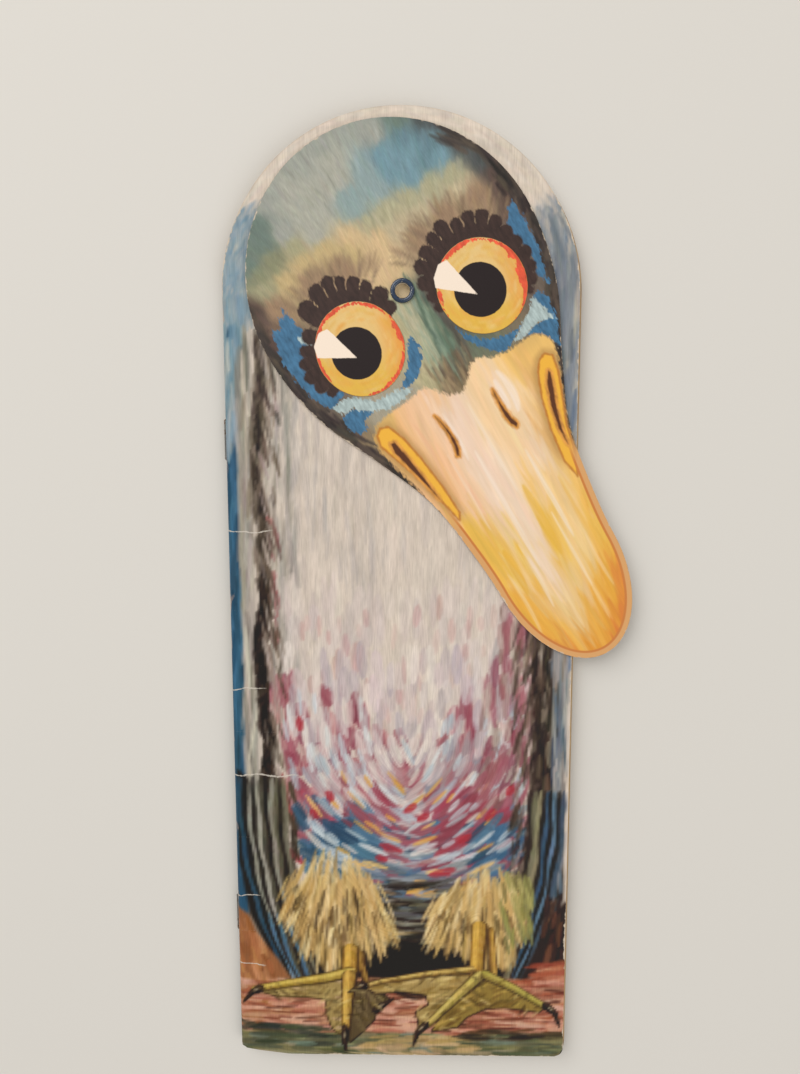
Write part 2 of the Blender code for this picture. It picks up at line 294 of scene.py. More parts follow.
# %% [markdown]
# A breast is soft because its feathers turn little by little and change colour ring by ring. So each layer
# of dabs keeps to a band between two levels of the oval family, the pale ones first and the dark ones last.


# %% Paint the breast
ROSE = {"#94505c": 4, "#a5666d": 3, "#863f4c": 3, "#b48482": 2}
DULL_ROSE = {"#94505c": 3, "#a5666d": 3, "#b08484": 2, "#9f8c90": 3, "#8c8b95": 2}
DEEP_ROSE = {"#94505c": 3, "#a04452": 2, "#863f4c": 2}
CRIMSON = {"#94505c": 2, "#a04452": 3, "#863f4c": 3}
BLUE = {"#3f6480": 4, "#4f728b": 3, "#2f4a60": 3, "#6f8796": 2}
DEEP_BLUE = {"#3f6480": 3, "#4f728b": 2, "#2f4a60": 3}
CREAM = {"#d6c8be": 4, "#cbbcb4": 4, "#beafab": 2, "#dccfc2": 2}
COOL_CREAM = {"#d2c3bd": 4, "#c3b3b1": 4, "#b3a6a8": 3, "#ddd0c4": 2}
BLUSH = {"#c0928d": 2, "#b58a88": 2, "#c9a9a0": 3}
PALE_BLUE = {"#bac4c8": 3, "#cfd2d0": 3, "#a9b2b8": 3, "#d9cfc4": 2}
SLATE = {"#7f8790": 3, "#97989a": 3, "#5f6a76": 3, "#aaa49c": 2}
OCHRE = {"#d9a24c": 3, "#cf9a58": 1, "#e0b36a": 1}
DUSK = {"#5d594c": 3, "#8b8577": 3, "#3a342b": 3, "#a79c88": 2, "#4d5a66": 1, "#b08f5c": 1}
BELLY_LAYERS = (  # count, x span, y span, palette, lengths, widths, breast levels, strength, colour spread
    (420, (-40, 41), (-62, 6), CREAM, (7, 15), (2.0, 3.8), (0, 0.92), 0.5, 0.015),
    (90, (-38, 39), (-45, 2), BLUSH, (4, 10), (1.2, 2.4), (0.3, 0.95), 0.5, 0.02),
    (330, (-41, 42), (-90, -22), ROSE, (6, 13), (2.0, 4.2), (0.62, 1.1), 0.85, 0.02),
    (330, (-30, 34), (-90, -40), DULL_ROSE, (6, 12), (1.8, 3.4), (0.5, 0.98), 0.8, 0.02),
    (190, (-38, 40), (-72, -14), COOL_CREAM, (7, 14), (2.0, 3.8), (0.3, 0.99), 0.8, 0.015),
    (330, (-40, 42), (-98, -60), BLUE, (6, 13), (2.0, 4.0), (0.78, 1.1), 0.88, 0.02),
    (110, (-36, 38), (-94, -58), DEEP_ROSE, (6, 12), (1.6, 3.2), (0.74, 1.05), 0.85, 0.02),
    (70, (12, 33), (-88, -58), CRIMSON, (7, 13), (2.4, 4.2), (0.5, 1.05), 0.9, 0.02),
    (60, (-26, -9), (-88, -69), DEEP_BLUE, (7, 13), (2.4, 4.2), (0.5, 1.05), 0.9, 0.02),
    (50, (23, 39), (-88, -67), DEEP_BLUE, (6, 12), (2.0, 3.6), (0.5, 1.05), 0.9, 0.02),
    (190, (-40, 42), (-94, -28), PALE_BLUE, (5, 10), (1.0, 2.2), (0.62, 1.06), 0.85, 0.015),
    (120, (-30, 32), (-96, -80), SLATE, (6, 12), (1.2, 2.4), (0.84, 1.04), 0.8, 0.02),
    (46, (-30, 32), (-94, -50), OCHRE, (4, 9), (0.8, 1.5), (0.66, 1.0), 0.9, 0.02),
    (300, (-34, 38), (-112, -92), DUSK, (7, 16), (0.9, 2.0), (0.9, 1.04), 0.9, 0.02),
)
RED_MARKS = ((-3, -75, 8), (-6, -78.5, 4), (3, -62, 5), (7, -65, 4.5), (13, -83, 9), (34, -56, 4),
             (-31, -35, 5), (-27, -64, 4), (-33, -78, 7), (20, -72, 5), (-22, -58, 4), (28, -64, 5))


def paint_breast(p, rng):
    """Pale feathers that run down and round, then rose, blue and yellow dabs ring by ring."""
    def pale(x, y):
        return -41 < x < 40 and breast_level(x, y) < 1.06

    level = breast_level(p.x, p.y)
    inside = 1 - ease(1.02, 1.1, level)
    p.wash(inside * ease(0.5, 0.85, level) * ease(-12, -42, p.y) * 0.75, "#a88c8a")
    p.wash(inside * ease(-60, -84, p.y) * 0.8, "#7a7c84")
    p.wash(inside * ease(-90, -100, p.y), "#56524a")
    strokes(p, rng, 900, (-41, 41), (-60, 92), {"#d6c7b8": 5, "#cfc1b2": 5, "#c6b9ac": 3, "#beb2a8": 1,
            "#dccdbe": 3}, (10, 22), (1.6, 3.2), breast_angle, spread=0.01, strength=0.4, where=pale)
    strokes(p, rng, 200, (-40, -8), (-30, 80), {"#b3a9a0": 3, "#aaa39f": 2, "#b9ad9f": 2}, (7, 18),
            (0.6, 1.6), breast_angle, spread=0.012, strength=0.4, where=pale)
    strokes(p, rng, 60, (-20, 34), (-30, 40), {"#b3aaa2": 3, "#aaa5a2": 2}, (7, 16),
            (0.6, 1.4), breast_angle, spread=0.012, strength=0.3, where=pale)
    strokes(p, rng, 150, (-40, -31), (-20, 82), {"#8f8a82": 3, "#a09a90": 3, "#7a756c": 2}, (6, 15),
            (0.6, 1.4), breast_angle, strength=0.5)
    for count, across, along, palette, length, width, levels, strength, spread_of in BELLY_LAYERS:
        strokes(p, rng, count, across, along, palette, length, width, breast_angle, spread=spread_of,
                strength=strength, where=between(*levels))
    strokes(p, rng, 22, (-40.5, -36.2), (-8, 28), {"#8e4246": 2, "#a3555a": 1}, (3, 8), (0.8, 1.6),
            UPRIGHT + 0.15, strength=0.6)
    strokes(p, rng, 150, (24, 41), (-62, 4), {"#8a505a": 3, "#9b5b64": 2, "#a38a86": 2, "#7c5a55": 1,
            "#b9a79c": 2}, (5, 12), (1.2, 2.8), breast_angle, strength=0.75, where=between(0.72, 1.0))
    for x, y, long in RED_MARKS:
        p.dab(x, y, breast_angle(x, y), long, 2.4, "#a5303a", strength=0.92)


print("breast:", sum(layer[0] for layer in BELLY_LAYERS), "dabs in", len(BELLY_LAYERS), "layers")

# %% [markdown]
# Both sides of the breast are shut in by dark strokes, and the wings hang there as long bent feathers,
# light and dark in turn, that lean in towards the feet.


# %% Paint the wings and the dark behind the legs
HOLLOW = ((-51, -50), (-42, -58), (-38, -72), (-34, -86), (-24, -97), (-10, -103), (4, -106), (18, -102),
          (30, -94), (38, -80), (41, -60), (42, -20), (47, -18), (48.5, -60), (51, -84), (51, -112),
          (40, -119), (-8, -119.5), (-30, -119.5), (-41, -113), (-48, -98), (-51, -80))
LEFT_WING = ((-50.4, "#2f4a5c", 1.8), (-48.8, "#1d1a17", 1.7), (-47.4, "#8f8d80", 1.3),
             (-46.0, "#2a251f", 1.7), (-44.6, "#a09c8f", 1.4), (-43.2, "#4c483a", 1.5),
             (-41.8, "#26201a", 1.6), (-40.4, "#8d8a7c", 1.5), (-39.0, "#595443", 1.4),
             (-37.6, "#2a241d", 1.7), (-36.2, "#6f6a58", 1.3))
RIGHT_WING = ((40.6, "#2a2019", 1.6), (41.9, "#6f6a52", 1.5), (43.2, "#8c8466", 1.4),
              (44.4, "#2a2019", 1.7), (45.7, "#35506a", 1.6), (46.9, "#1c1613", 1.6),
              (48.1, "#5b7890", 1.3), (49.3, "#1b1512", 1.7), (50.5, "#3f4f5e", 1.3))


def paint_wing(p, rng, feathers, side, top, sweep):
    """Feathers as chains of dabs. Each runs down from top and leans in by sweep times the square of how
    far down it is; the outer feathers lean most."""
    for number, (start, colour, width) in enumerate(feathers):
        lean = sweep - 0.4 * number if side > 0 else sweep - 0.5 * (len(feathers) - 1 - number)
        for y in np.linspace(top, -118, 26):
            t = (top - y) / (118 + top)
            x = start + side * lean * t**2.1 + 0.35 * math.sin(y / 3 + number)
            turn = -UPRIGHT + side * math.atan(2.1 * t**1.1 * lean / 60)
            tone = "#4d6e86" if colour in ("#8f8d80", "#a09c8f", "#8d8a7c") and y < -100 else colour
            p.dab(x, y, turn, 8, width * (1.2 - 0.45 * t) * rng.uniform(0.8, 1.2), tinted(rng, tone, 0.02),
                  strength=0.85, phase=rng.uniform(0, 6))


def paint_wings(p, rng):
    """The dark at both sides of the breast, then the wings over it."""
    for y in np.arange(80, -70, -0.9):
        middle = -42.0 + 0.9 * math.sin(y / 9) + 0.5 * math.sin(y / 3.7 + 1)
        tones = (("#40352d", 0.8), ("#5c4f42", 1.2), ("#1f1713", 0.5), ("#8a7c6c", 1.6))
        for tone, part in tones if y > 10 else tones[:1] + tones[2:3] * 2:
            p.dab(middle + rng.normal(0, 1.0) * part, y + rng.normal(0, 1), UPRIGHT + rng.normal(0, 0.14),
                  rng.uniform(4, 11), rng.uniform(0.7, 2.0) * (1.3 if y < 0 else 0.9),
                  tinted(rng, tone, 0.02),
                  strength=0.75 if y < 10 else 0.58, phase=rng.uniform(0, 6))
    strokes(p, rng, 150, (-41.5, -36.0), (-80, 78), {"#a2938a": 3, "#8a7a6c": 2, "#5a4a3e": 3, "#bdb0a5": 2,
                                                     "#2e241d": 2},
            (4, 12), (0.5, 1.3), lambda x, y: UPRIGHT + 0.2, strength=0.65)
    p.wash(ease(-0.8, 0.8, polygon_distance(HOLLOW, p.x, p.y)), "#1f1710")
    strokes(p, rng, 120, (-17, 20), (-107, -86), {"#2a211b": 4, "#46413a": 2, "#626666": 1.5, "#8e8a72": 0.7},
            (6, 13), (0.8, 1.9), breast_angle, strength=0.75)
    strokes(p, rng, 190, (40.4, 47.0), (-104, 4), {"#221916": 4, "#33261f": 3, "#463a30": 2, "#655343": 1.6,
            "#877866": 1.4, "#a0907e": 0.7}, (6, 16), (0.9, 2.2), lambda x, y: UPRIGHT + 0.04, strength=0.8)
    strokes(p, rng, 120, (34.5, 41.5), (-96, -2), {"#2c201b": 3, "#4b3b31": 3, "#6a5647": 2, "#8d7b6c": 2},
            (4, 11), (0.5, 1.4), lambda x, y: UPRIGHT - 0.22, strength=0.7)
    strokes(p, rng, 110, (46.8, 50.6), (-100, 10), {"#8c8a86": 3, "#a09a92": 3, "#5f6a75": 2, "#3c3a3a": 1.2,
            "#36485a": 1, "#8c7660": 1}, (8, 20), (0.7, 1.6), UPRIGHT)
    strokes(p, rng, 120, (-44, -33), (-104, -56), {"#241d17": 3, "#3d3529": 3, "#57503e": 2, "#8b3f3c": 0.6},
            (6, 14), (1.0, 2.0), lambda x, y: -1.3, strength=0.8, where=between(0.93, 1.3))
    paint_wing(p, rng, LEFT_WING, 1, -56, 13.5)
    paint_wing(p, rng, RIGHT_WING, -1, -60, 12.0)


# %% [markdown]
# The bird stands on earth at the water's edge. Level strokes read as flat ground, so the turn of a stroke
# alone tells earth and water from the feathers above them, which all run up and down.


# %% Paint the ground and the water
LEFT_BANK = ((-54, -94), (-48.5, -98), (-45, -106), (-39, -113), (-35, -119.5), (-54, -119.5))
RIGHT_SHADE = ((44, -106), (47, -98), (54, -90), (54, -113), (47, -115), (38, -119))


def paint_ground(p, rng):
    """Level strokes: red earth under the feet, orange banks at both sides and green water below."""
    x, y = p.x, p.y
    p.wash(ease(0, 1.5, -(y + 118.8 + 0.8 * np.sin(x / 7))), "#b07a58")
    p.wash((1 - ease(-48, -40, x + 0.55 * (y + 118))) * ease(0, 8, -(y + 98)), "#94603a")
    p.wash(ease(40, 46, x - 0.5 * (y + 118)) * ease(0, 3, -(y + 112)), "#9a5438")

    for corner, tone in ((LEFT_BANK, "#8f5c3a"), (RIGHT_SHADE, "#2c1c15")):
        p.wash(ease(-0.8, 0.8, polygon_distance(corner, x, y)), tone)
    strokes(p, rng, 40, (45, 52), (-113, -92), {"#3c251c": 2, "#1f1511": 2, "#6a4433": 1}, (5, 10),
            (1.0, 2.0), 1.4)

    def land(x, y):
        return y < -119 or (x < -47 - 0.62 * (y + 104) and y < -96) or (x > 43 and y < -113)

    strokes(p, rng, 110, (-53, -40), (-128, -100), {"#a36a42": 3, "#8a5534": 2, "#b98258": 2}, (5, 10),
            (1.2, 2.4), -1.25, where=land)
    strokes(p, rng, 110, (38, 52), (-128, -112), {"#a65c42": 3, "#8c3f2c": 3, "#c08a6a": 2}, (4, 9),
            (1.0, 2.0), 0.1, where=land)
    strokes(p, rng, 330, (-53, 52), (-139, -120), {"#c8967c": 4, "#bc8468": 3, "#d3a78e": 3, "#a4644c": 2},
            (5, 13), (1.2, 2.4), 0.0, where=land)
    strokes(p, rng, 150, (-53, 52), (-139, -121), {"#6f3526": 3, "#8a4632": 2, "#4a2218": 2}, (4, 12),
            (0.4, 0.9), 0.0, where=land)
    p.wash(ease(0, 1.4, -(y + 137.6 + 0.7 * np.sin(x / 9))), "#6b6444")
    strokes(p, rng, 260, (-53, 52), (-146, -138.4), {"#57583c": 4, "#3c4433": 2.5, "#7f7a54": 3,
            "#94866a": 2, "#6f7a6c": 1.6}, (6, 16), (0.8, 1.9), 0.0)
    strokes(p, rng, 60, (-14, 26), (-146, -139), {"#b0925f": 2, "#c0a27a": 2, "#8f7a52": 1}, (5, 11),
            (0.9, 1.7), 0.0)
    strokes(p, rng, 26, (-52, -20), (-139.5, -135.5), {"#2f332a": 3, "#454a38": 2}, (7, 14), (1.0, 1.8),
            -0.03)
    strokes(p, rng, 24, (20, 50), (-140, -136.6), {"#2a2116": 3, "#4a3a26": 2}, (7, 14), (0.8, 1.4), 0.02)


# %% [markdown]
# The thighs are two fans of golden feathers. Each feather starts near the fan's middle and points away
# from it, and the longest point down. Legs, toes and claws are chains of short dabs laid three times: wide
# and dark, narrower in the middle tone, and thin and light along the lit side.


# %% Paint the thighs, legs and feet
THIGHS = (  # where the feathers spread from, and the outline that they fill
    ((-19, -56), ((-36, -86), (-28, -80), (-16, -79), (-9, -88), (-4, -99), (-5, -105), (-10, -108),
                  (-13, -112), (-19, -112), (-24, -115), (-26, -109), (-31, -107), (-32, -101), (-36, -98))),
    ((26, -62), ((11, -94), (18, -87), (26, -85), (35, -86), (38, -92), (36, -102), (33, -112), (29, -108),
                 (25, -112), (19, -106), (13, -106), (9, -101))),
)


def paint_thigh(p, rng, root, outline):
    """Long dabs that point away from root, kept where their middles are inside the outline."""
    tones = {"#c4a063": 3, "#d8ba80": 3, "#b08c50": 2, "#e4cc98": 2, "#8f7446": 1.6, "#cbaa6c": 2}
    (left, low), (right, high) = np.min(outline, axis=0), np.max(outline, axis=0)

    def fan(x, y):
        return math.atan2(y - root[1], x - root[0])

    def inside(x, y):
        return polygon_distance(outline, np.array(x), np.array(y)) > 0

    def fringe(x, y):
        return -2.5 < polygon_distance(outline, np.array(x), np.array(y)) < 0.5 and y < high - 9

    def thinning(x, y):
        return inside(x, y) and rng.uniform() < 1.1 - 0.7 * ease(high - 14, high, y)

    fade = 1 - ease(high - 16, high - 2, p.y)
    p.wash(ease(-2.0, 3.0, polygon_distance(outline, p.x, p.y)) * 0.9 * fade, "#a98a54")
    strokes(p, rng, 560, (left, right), (low, high), tones, (6, 13), (0.8, 1.7), fan, spread=0.02,
            strength=0.8, where=thinning)
    strokes(p, rng, 120, (left, right), (low, high - 12), {"#2c2014": 2, "#5b4728": 2}, (4, 9),
            (0.4, 0.9), fan, strength=0.6, where=inside)
    strokes(p, rng, 260, (left - 2, right + 2), (low - 3, high - 9), tones, (7, 12), (0.6, 1.1), fan,
            spread=0.02, strength=0.9, where=fringe)


def paint_limb(p, rng, line, widths, light, middle, dark):
    """Dabs 0.8 mm apart along a bent line whose width goes from widths[0] to widths[1]."""
    points = np.array(line, float)
    steps = np.hypot(*np.diff(points, axis=0).T)
    run = np.concatenate([[0], np.cumsum(steps)])
    for shift, tone, share, strength in ((0, dark, 1.28, 0.9), (0.06, middle, 0.95, 0.95),
                                         (0.22, light, 0.42, 0.85)):
        for q in np.linspace(0, run[-1], int(run[-1] / 0.8) + 2):
            x, y = np.interp(q, run, points[:, 0]), np.interp(q, run, points[:, 1])
            leg = points[min(np.searchsorted(run, q, side="right"), len(points) - 1)]
            before = points[min(np.searchsorted(run, q, side="right"), len(points) - 1) - 1]
            turn = math.atan2(leg[1] - before[1], leg[0] - before[0])
            width = np.interp(q / run[-1], [0, 1], widths)
            side = np.array([-math.sin(turn), math.cos(turn)]) * (1 if math.cos(turn) > 0 else -1)
            p.dab(x + side[0] * shift * width, y + side[1] * shift * width, turn, 3.6, width * share,
                  tinted(rng, tone, 0.025), strength=strength, bristle=0.25, phase=rng.uniform(0, 6))


def paint_web(p, rng, outline, edge, base, tones, turn, count):
    """A web of skin: a dark edge, a flat base and short strokes kept inside it."""
    depth = polygon_distance(outline, p.x, p.y)
    p.wash(ease(-0.7, -0.2, depth), edge)
    p.wash(ease(-0.25, 0.25, depth), base)
    (left, low), (right, high) = np.min(outline, axis=0), np.max(outline, axis=0)
    strokes(p, rng, count, (left, right), (low, high), dict.fromkeys(tones, 1), (3, 7), (0.6, 1.2), turn,
            spread=0.02, strength=0.75,
            where=lambda x, y: polygon_distance(outline, np.array(x), np.array(y)) > 0.7)


WEBS = (
    (((-16, -118.5), (-30, -120.5), (-46, -124), (-40, -125.6), (-30, -125.5), (-24, -126.2), (-23.6, -132),
      (-22, -136.5), (-19, -138.5), (-16.5, -132)), "#33230f", "#9c8450",
     ("#bda468", "#7a6436", "#a88a50", "#5f5030", "#c9a98a"), -0.1, 130),
    (((-15, -121), (-8, -122), (-3.5, -126.5), (-8, -130), (-8.5, -133), (-13, -138), (-16.5, -141),
      (-16, -130)), "#1d120c", "#57472e", ("#6b5a3a", "#3f3220", "#7d6a48"), -1.2, 80),
    (((-14, -120.5), (0, -119), (22, -115.5), (24, -119), (12, -131), (6, -136), (5, -130.5), (9, -128),
      (8, -124.5), (0, -123.5), (-8, -124)), "#2a180e", "#a08650",
     ("#c4a662", "#8a6c34", "#6f5528", "#d0b478"), 0.15, 150),
    (((25, -118.5), (34, -121), (46, -128.5), (44, -130), (38, -129.2), (33, -128.6), (27, -129),
      (21, -132), (18, -135.5), (10, -137), (13, -132)), "#2e1b10", "#8c7336",
     ("#b09448", "#6e5426", "#c4a354", "#5a431f"), 0.5, 150),
)
LIMBS = (  # middle line, widths at its ends, and its light, middle and dark tones
    (((-15.8, -109), (-16, -113), (-16.5, -119)), (4.4, 4.2), "#cfa44a", "#ab8238", "#54391a"),
    (((-12.4, -111), (-12.5, -115), (-11.5, -119)), (2.0, 1.8), "#a07a3c", "#6b4a26", "#2c1a0e"),
    (((-16, -117), (-24, -119), (-36, -121), (-46.5, -123.5)), (3.2, 1.8), "#cbb058", "#a08238", "#3c2a12"),
    (((-16.3, -118), (-17.2, -127), (-17.8, -137.5)), (4.0, 2.2), "#cda650", "#a5803a", "#382410"),
    (((25, -101), (24.5, -110), (24, -118)), (4.4, 3.8), "#cfa44a", "#a98038", "#54391a"),
    (((28.5, -103), (29, -111), (29.5, -118)), (1.8, 2.2), "#c09446", "#8a6430", "#3a2412"),
    (((22, -115.8), (8, -117.5), (-6, -120), (-12, -121.8)), (2.2, 1.2), "#d3b468", "#8a6a34", "#2e1c10"),
    (((25, -118), (18, -125), (8.5, -135)), (3.4, 1.8), "#c8b060", "#958040", "#3a2812"),
    (((27, -117.5), (36, -122), (47, -128.8)), (2.8, 1.5), "#b0a04c", "#8c7a38", "#3c2c16"),
)
CLAWS = (((-45.5, -123.6), (-48, -124.8), (-50, -127.2)), ((-18, -137), (-18.2, -141), (-17.8, -144.3)),
         ((-12, -121.6), (-14, -122.2), (-15.6, -123.2)), ((7.6, -135.2), (5.4, -137.6), (4.3, -141)),
         ((46.6, -128.2), (49.2, -130.4), (50.4, -134)), ((-7.5, -129.6), (-5.5, -128), (-3.4, -126.6)))


def paint_feet(p, rng):
    """Thighs first, then webs, toes over the webs, and claws last."""
    for root, outline in THIGHS:
        paint_thigh(p, rng, root, outline)
    strokes(p, rng, 50, (32, 42), (-108, -84), {"#8f8a4e": 3, "#a59a5c": 2, "#6f6a3c": 1}, (5, 10),
            (0.8, 1.6), -1.35, strength=0.8)
    for outline, edge, base, tones, turn, count in WEBS:
        paint_web(p, rng, outline, edge, base, tones, turn, count)
    for line, widths, light, middle, dark in LIMBS:
        paint_limb(p, rng, line, widths, light, middle, dark)
    for line in CLAWS:
        paint_limb(p, rng, line, (2.1, 0.6), "#3c2a1c", "#1d130c", "#140c08")
        (ax, ay), (bx, by) = line[:2]
        p.dab((ax + bx) / 2, (ay + by) / 2 + 0.35, math.atan2(by - ay, bx - ax), 2.2, 0.55, "#d8c9a8",
              strength=0.8)
    p.dab(3, -124.9, -0.15, 11, 2.4, "#20140d", bend=0.06)
    strokes(p, rng, 420, (-46, 46), (-139, -104), {"#4a3a1c": 3, "#6b582e": 3, "#d6c080": 1.4, "#2e2010": 1},
            (1.5, 5), (0.4, 1.0), lambda x, y: 0.1 + 0.8 * math.sin(x / 5), strength=0.55,
            where=lambda x, y: any_of([web[0] for web in WEBS], np.array(x), np.array(y)) > -1.0)


def body_picture():
    """The whole bird below its head, painted back to front."""
    rng = np.random.default_rng(11)
    p = Picture(-54, 54, -147, 147, "#cdbfb1")
    paint_air(p, rng)
    paint_breast(p, rng)
    paint_wings(p, rng)
    paint_ground(p, rng)
    paint_feet(p, rng)
    return p


BODY_PICTURE = body_picture()
print("body picture:", BODY_PICTURE.rgb.shape, "points")

# %% [markdown]
# The head turns about the eyelet, so it is painted in its own upright frame: u runs across, v runs from the
# crown to the tip of the bill, and the eyelet is at (0, 0). The crown's soft colours come from a few
# anchors, and every point takes the most from the nearest ones. Short hairs laid over them keep the local
# colour, a little lighter or darker, so that the blend looks brushed and not airbrushed.

# %% The head's colours
CROWN = {  # each tone, and the points (u, v) where it is purest
    "#9a9c92": ((-7, -46), (0, -47), (-21, -41), (14, -42), (-21, -31)),
    "#a6a598": ((-14, -38), (0, -41), (0, -36), (-7, -35), (-12, -31), (-14, -26)),
    "#8b9c9b": ((7, -34), (0, -30), (0, -26), (8, -28)),
    "#72909a": ((14, -35), (14, -30), (21, -32), (18, -26), (27, -27)),
    "#67828a": ((21, -37), (28, -31), (24, -29)),
    "#6b7a70": ((-28, -36), (-28, -31), (-35, -28), (22, -41)),
    "#4f5352": ((33, -33), (35, -27), (38, -20), (29, -38)),
    "#86866a": ((-28, -26), (-34, -24)),
    "#a29d7c": ((-21, -26), (-34, -20)),
    "#bea779": ((-21, -21), (-14, -21), (-28, -18), (-7, -17)),
    "#a9a384": ((0, -22), (7, -21), (14, -21), (21, -21), (28, -20)),
    "#cdb187": ((-5, -20), (0, -16), (-1, -11), (-2, -7)),
    "#bbab8c": ((8, -16), (14, -16), (28, -16)),
    "#9d8166": ((-34, -15), (-21, -16), (-12, -14), (21, -12), (30, -13), (12, -11)),
    "#584740": ((-40, -16), (-40, -5), (40, -16), (41, -8), (-39, 4)),
    "#b3aa85": ((-4, 4), (-3, 14), (-6, 24)),
    "#8c927a": ((2, 8), (2, 14)),
    "#667260": ((3, 18), (4, 22)),
    "#55514a": ((8, 14), (7, 6)),
    "#8a775c": ((1, 28), (-33, 30), (33, 34)),
    "#a39a86": ((-14, 27), (-22, 27)),
    "#6c5f54": ((-36, 22), (38, 22)),
}
BILL = {
    "#ecd0b8": ((-8, 37), (-4, 40), (0, 37), (-8, 47), (-8, 57), (-3, 54), (0, 58), (0, 65), (-7, 66),
                (0, 72), (-1, 79), (-4, 88), (12, 37), (11, 43), (12, 60), (-3, 94)),
    "#ebbf96": ((-12, 33), (-16, 36), (-12, 42), (-12, 50), (-12, 58), (-12, 65), (-16, 42), (-7, 31)),
    "#e9b583": ((-16, 48), (-16, 56), (-19, 36), (-17, 52)),
    "#eecb9c": ((4, 36), (8, 34), (4, 44), (12, 49), (4, 52), (15, 42), (16, 48), (4, 60), (8, 62)),
    "#eac78f": ((8, 70), (12, 68), (12, 78), (8, 84), (-8, 76), (12, 84), (8, 92), (-12, 92), (-4, 102)),
    "#e9bc6e": ((20, 33), (24, 31), (16, 36), (18, 66), (16, 72), (-24, 32), (4, 67)),
    "#dcae6c": ((20, 42), (17, 54), (20, 56), (16, 60), (-20, 44)),
    "#e6b754": ((4, 78), (4, 84), (-16, 72), (-16, 78), (3, 90), (-8, 84), (-16, 86), (16, 88), (-12, 80),
                (-8, 114)),
    "#e3a844": ((-16, 95), (-8, 96), (-12, 104), (14, 97), (10, 103), (8, 108), (-10, 109), (3, 113),
                (17, 80)),
    "#e2bd82": ((-7, 103), (0, 98), (0, 106), (4, 101), (-5, 111)),
    "#dc9438": ((0, 118), (8, 114), (-5, 118), (12, 107)),
    "#cf763c": ((15, 105), (11, 115), (6, 120), (-9, 117)),
}
BILL_LIGHTS = (
    (-4.5, 70, 40, 1.6, "#f1dfcd", 0), (-6.5, 92, 22, 1.2, "#f0dcc6", 0.02), (8.5, 72, 30, 1.4, "#f2e2d0", 0),
    (6.2, 90, 26, 1.0, "#f0dcc2", 0), (-12, 60, 26, 0.9, "#efd2b6", 0), (11.5, 96, 20, 1.0, "#eecea0", -0.02),
    (-13.5, 98, 22, 1.1, "#eecf9c", 0.03), (-9.5, 84, 24, 1.0, "#edc992", 0),
    (2.8, 78, 24, 2.6, "#e0b044", 0),
    (-11.5, 88, 16, 2.4, "#dfaa40", 0.02), (13, 84, 30, 1.2, "#e6b662", 0), (-2, 106, 14, 1.1, "#efd2a2", 0),
    (6, 108, 12, 1.0, "#eec98e", 0), (13.5, 40, 14, 2.4, "#f3e2d4", 0.1), (-7, 44, 16, 1.2, "#f3e0d0", 0.03),
    (10.4, 40, 10, 1.8, "#f4e5d8", 0), (0.5, 52, 30, 1.0, "#f0dcc8", 0),
    (-15.5, 44, 20, 1.2, "#e8b48c", 0.05),
)


def spread(tones, x, y):
    """The colour between a palette's points: each one's share is 1 / (distance squared + 4), to the 2.5."""
    total, mixed = np.zeros(x.shape), np.zeros(x.shape + (3,))
    for tone, points in tones.items():
        for u, v in points:
            share = ((x - u) ** 2 + (y - v) ** 2 + 4.0) ** -2.5
            total += share
            mixed += share[..., None] * shade(tone)
    return mixed / total[..., None]


tone_points = sum(map(len, (*CROWN.values(), *BILL.values())))
print("crown and bill:", len(CROWN) + len(BILL), "tones at", tone_points, "points")

# %% [markdown]
# The eyes, lashes and the bill's border are crisp shapes. Each one is kept as a distance in millimetres,
# for the material to cut. A lash is a rounded finger that points away from its eye, and thin gaps stay
# open between neighbours, where the two nearest fingers are equally close.

# %% The head's shapes
EYES = ((-18.9, 8.1, 12.8, 13.7), (20.4, 10.3, 12.9, 13.6))
PUPILS = ((-20.4, 8.6, 7.3, 7.6), (19.5, 11.0, 7.5, 7.8))
LASHES = (  # for each eye: direction in degrees, 0 towards the crown; reach from its middle; half width
    ((-46, 17.6, 2.4), (-24, 21.8, 3.1), (-7.5, 22.9, 2.8), (3.5, 23.0, 2.5), (12.5, 21.8, 2.2),
     (24, 20.8, 2.7),
     (34.5, 19.8, 2.3), (51, 19.0, 2.8), (66, 16.8, 2.2), (-62, 17.8, 1.9), (-75, 18.4, 2.0),
     (-89, 18.6, 2.2), (-103, 17.8, 2.1), (-116, 16.4, 1.7)),
    ((-72, 16.2, 2.0), (-57, 18.8, 2.6), (-43, 20.6, 2.6), (-30, 20.8, 2.5), (-17, 21.4, 2.2),
     (-6.5, 22.4, 2.5),
     (7, 20.6, 2.5), (17.5, 21.4, 2.5), (29, 21.4, 2.5), (41, 20.2, 2.5), (54, 18.6, 2.4), (68, 17.6, 2.2),
     (83, 17.4, 2.3), (98, 16.8, 2.2), (112, 16.2, 2.0), (125, 15.2, 1.4), (-86, 15.2, 1.6)),
)
RINGS = (  # for each eye: (degrees, width of the orange ring there); below 0 it is broken
    ((-180, 0.5), (-165, 0.3), (-150, -0.6), (-115, -0.4), (-98, 0.5), (-80, 0.4), (-62, 1.0), (-40, 0.6),
     (-20, 0.6), (-5, 1.0), (12, 0.6), (28, 0.4), (42, 0.9), (58, 0.3), (72, -0.2), (86, 1.0), (104, 1.2),
     (112, 0.0), (128, 0.4), (150, 0.8), (165, 0.7), (180, 0.5)),
    ((-180, -0.6), (-120, -0.6), (-95, -0.2), (-84, 0.4), (-70, 0.9), (-58, 0.2), (-40, 0.0), (-22, 0.5),
     (-12, 1.1), (2, 1.3), (14, 0.4), (34, 0.3), (50, 0.6), (62, 0.7), (74, 1.6), (84, 0.6), (96, 2.1),
     (108, 2.1), (122, 1.2), (138, 0.3), (155, -0.3), (170, -0.6), (180, -0.6)),
)
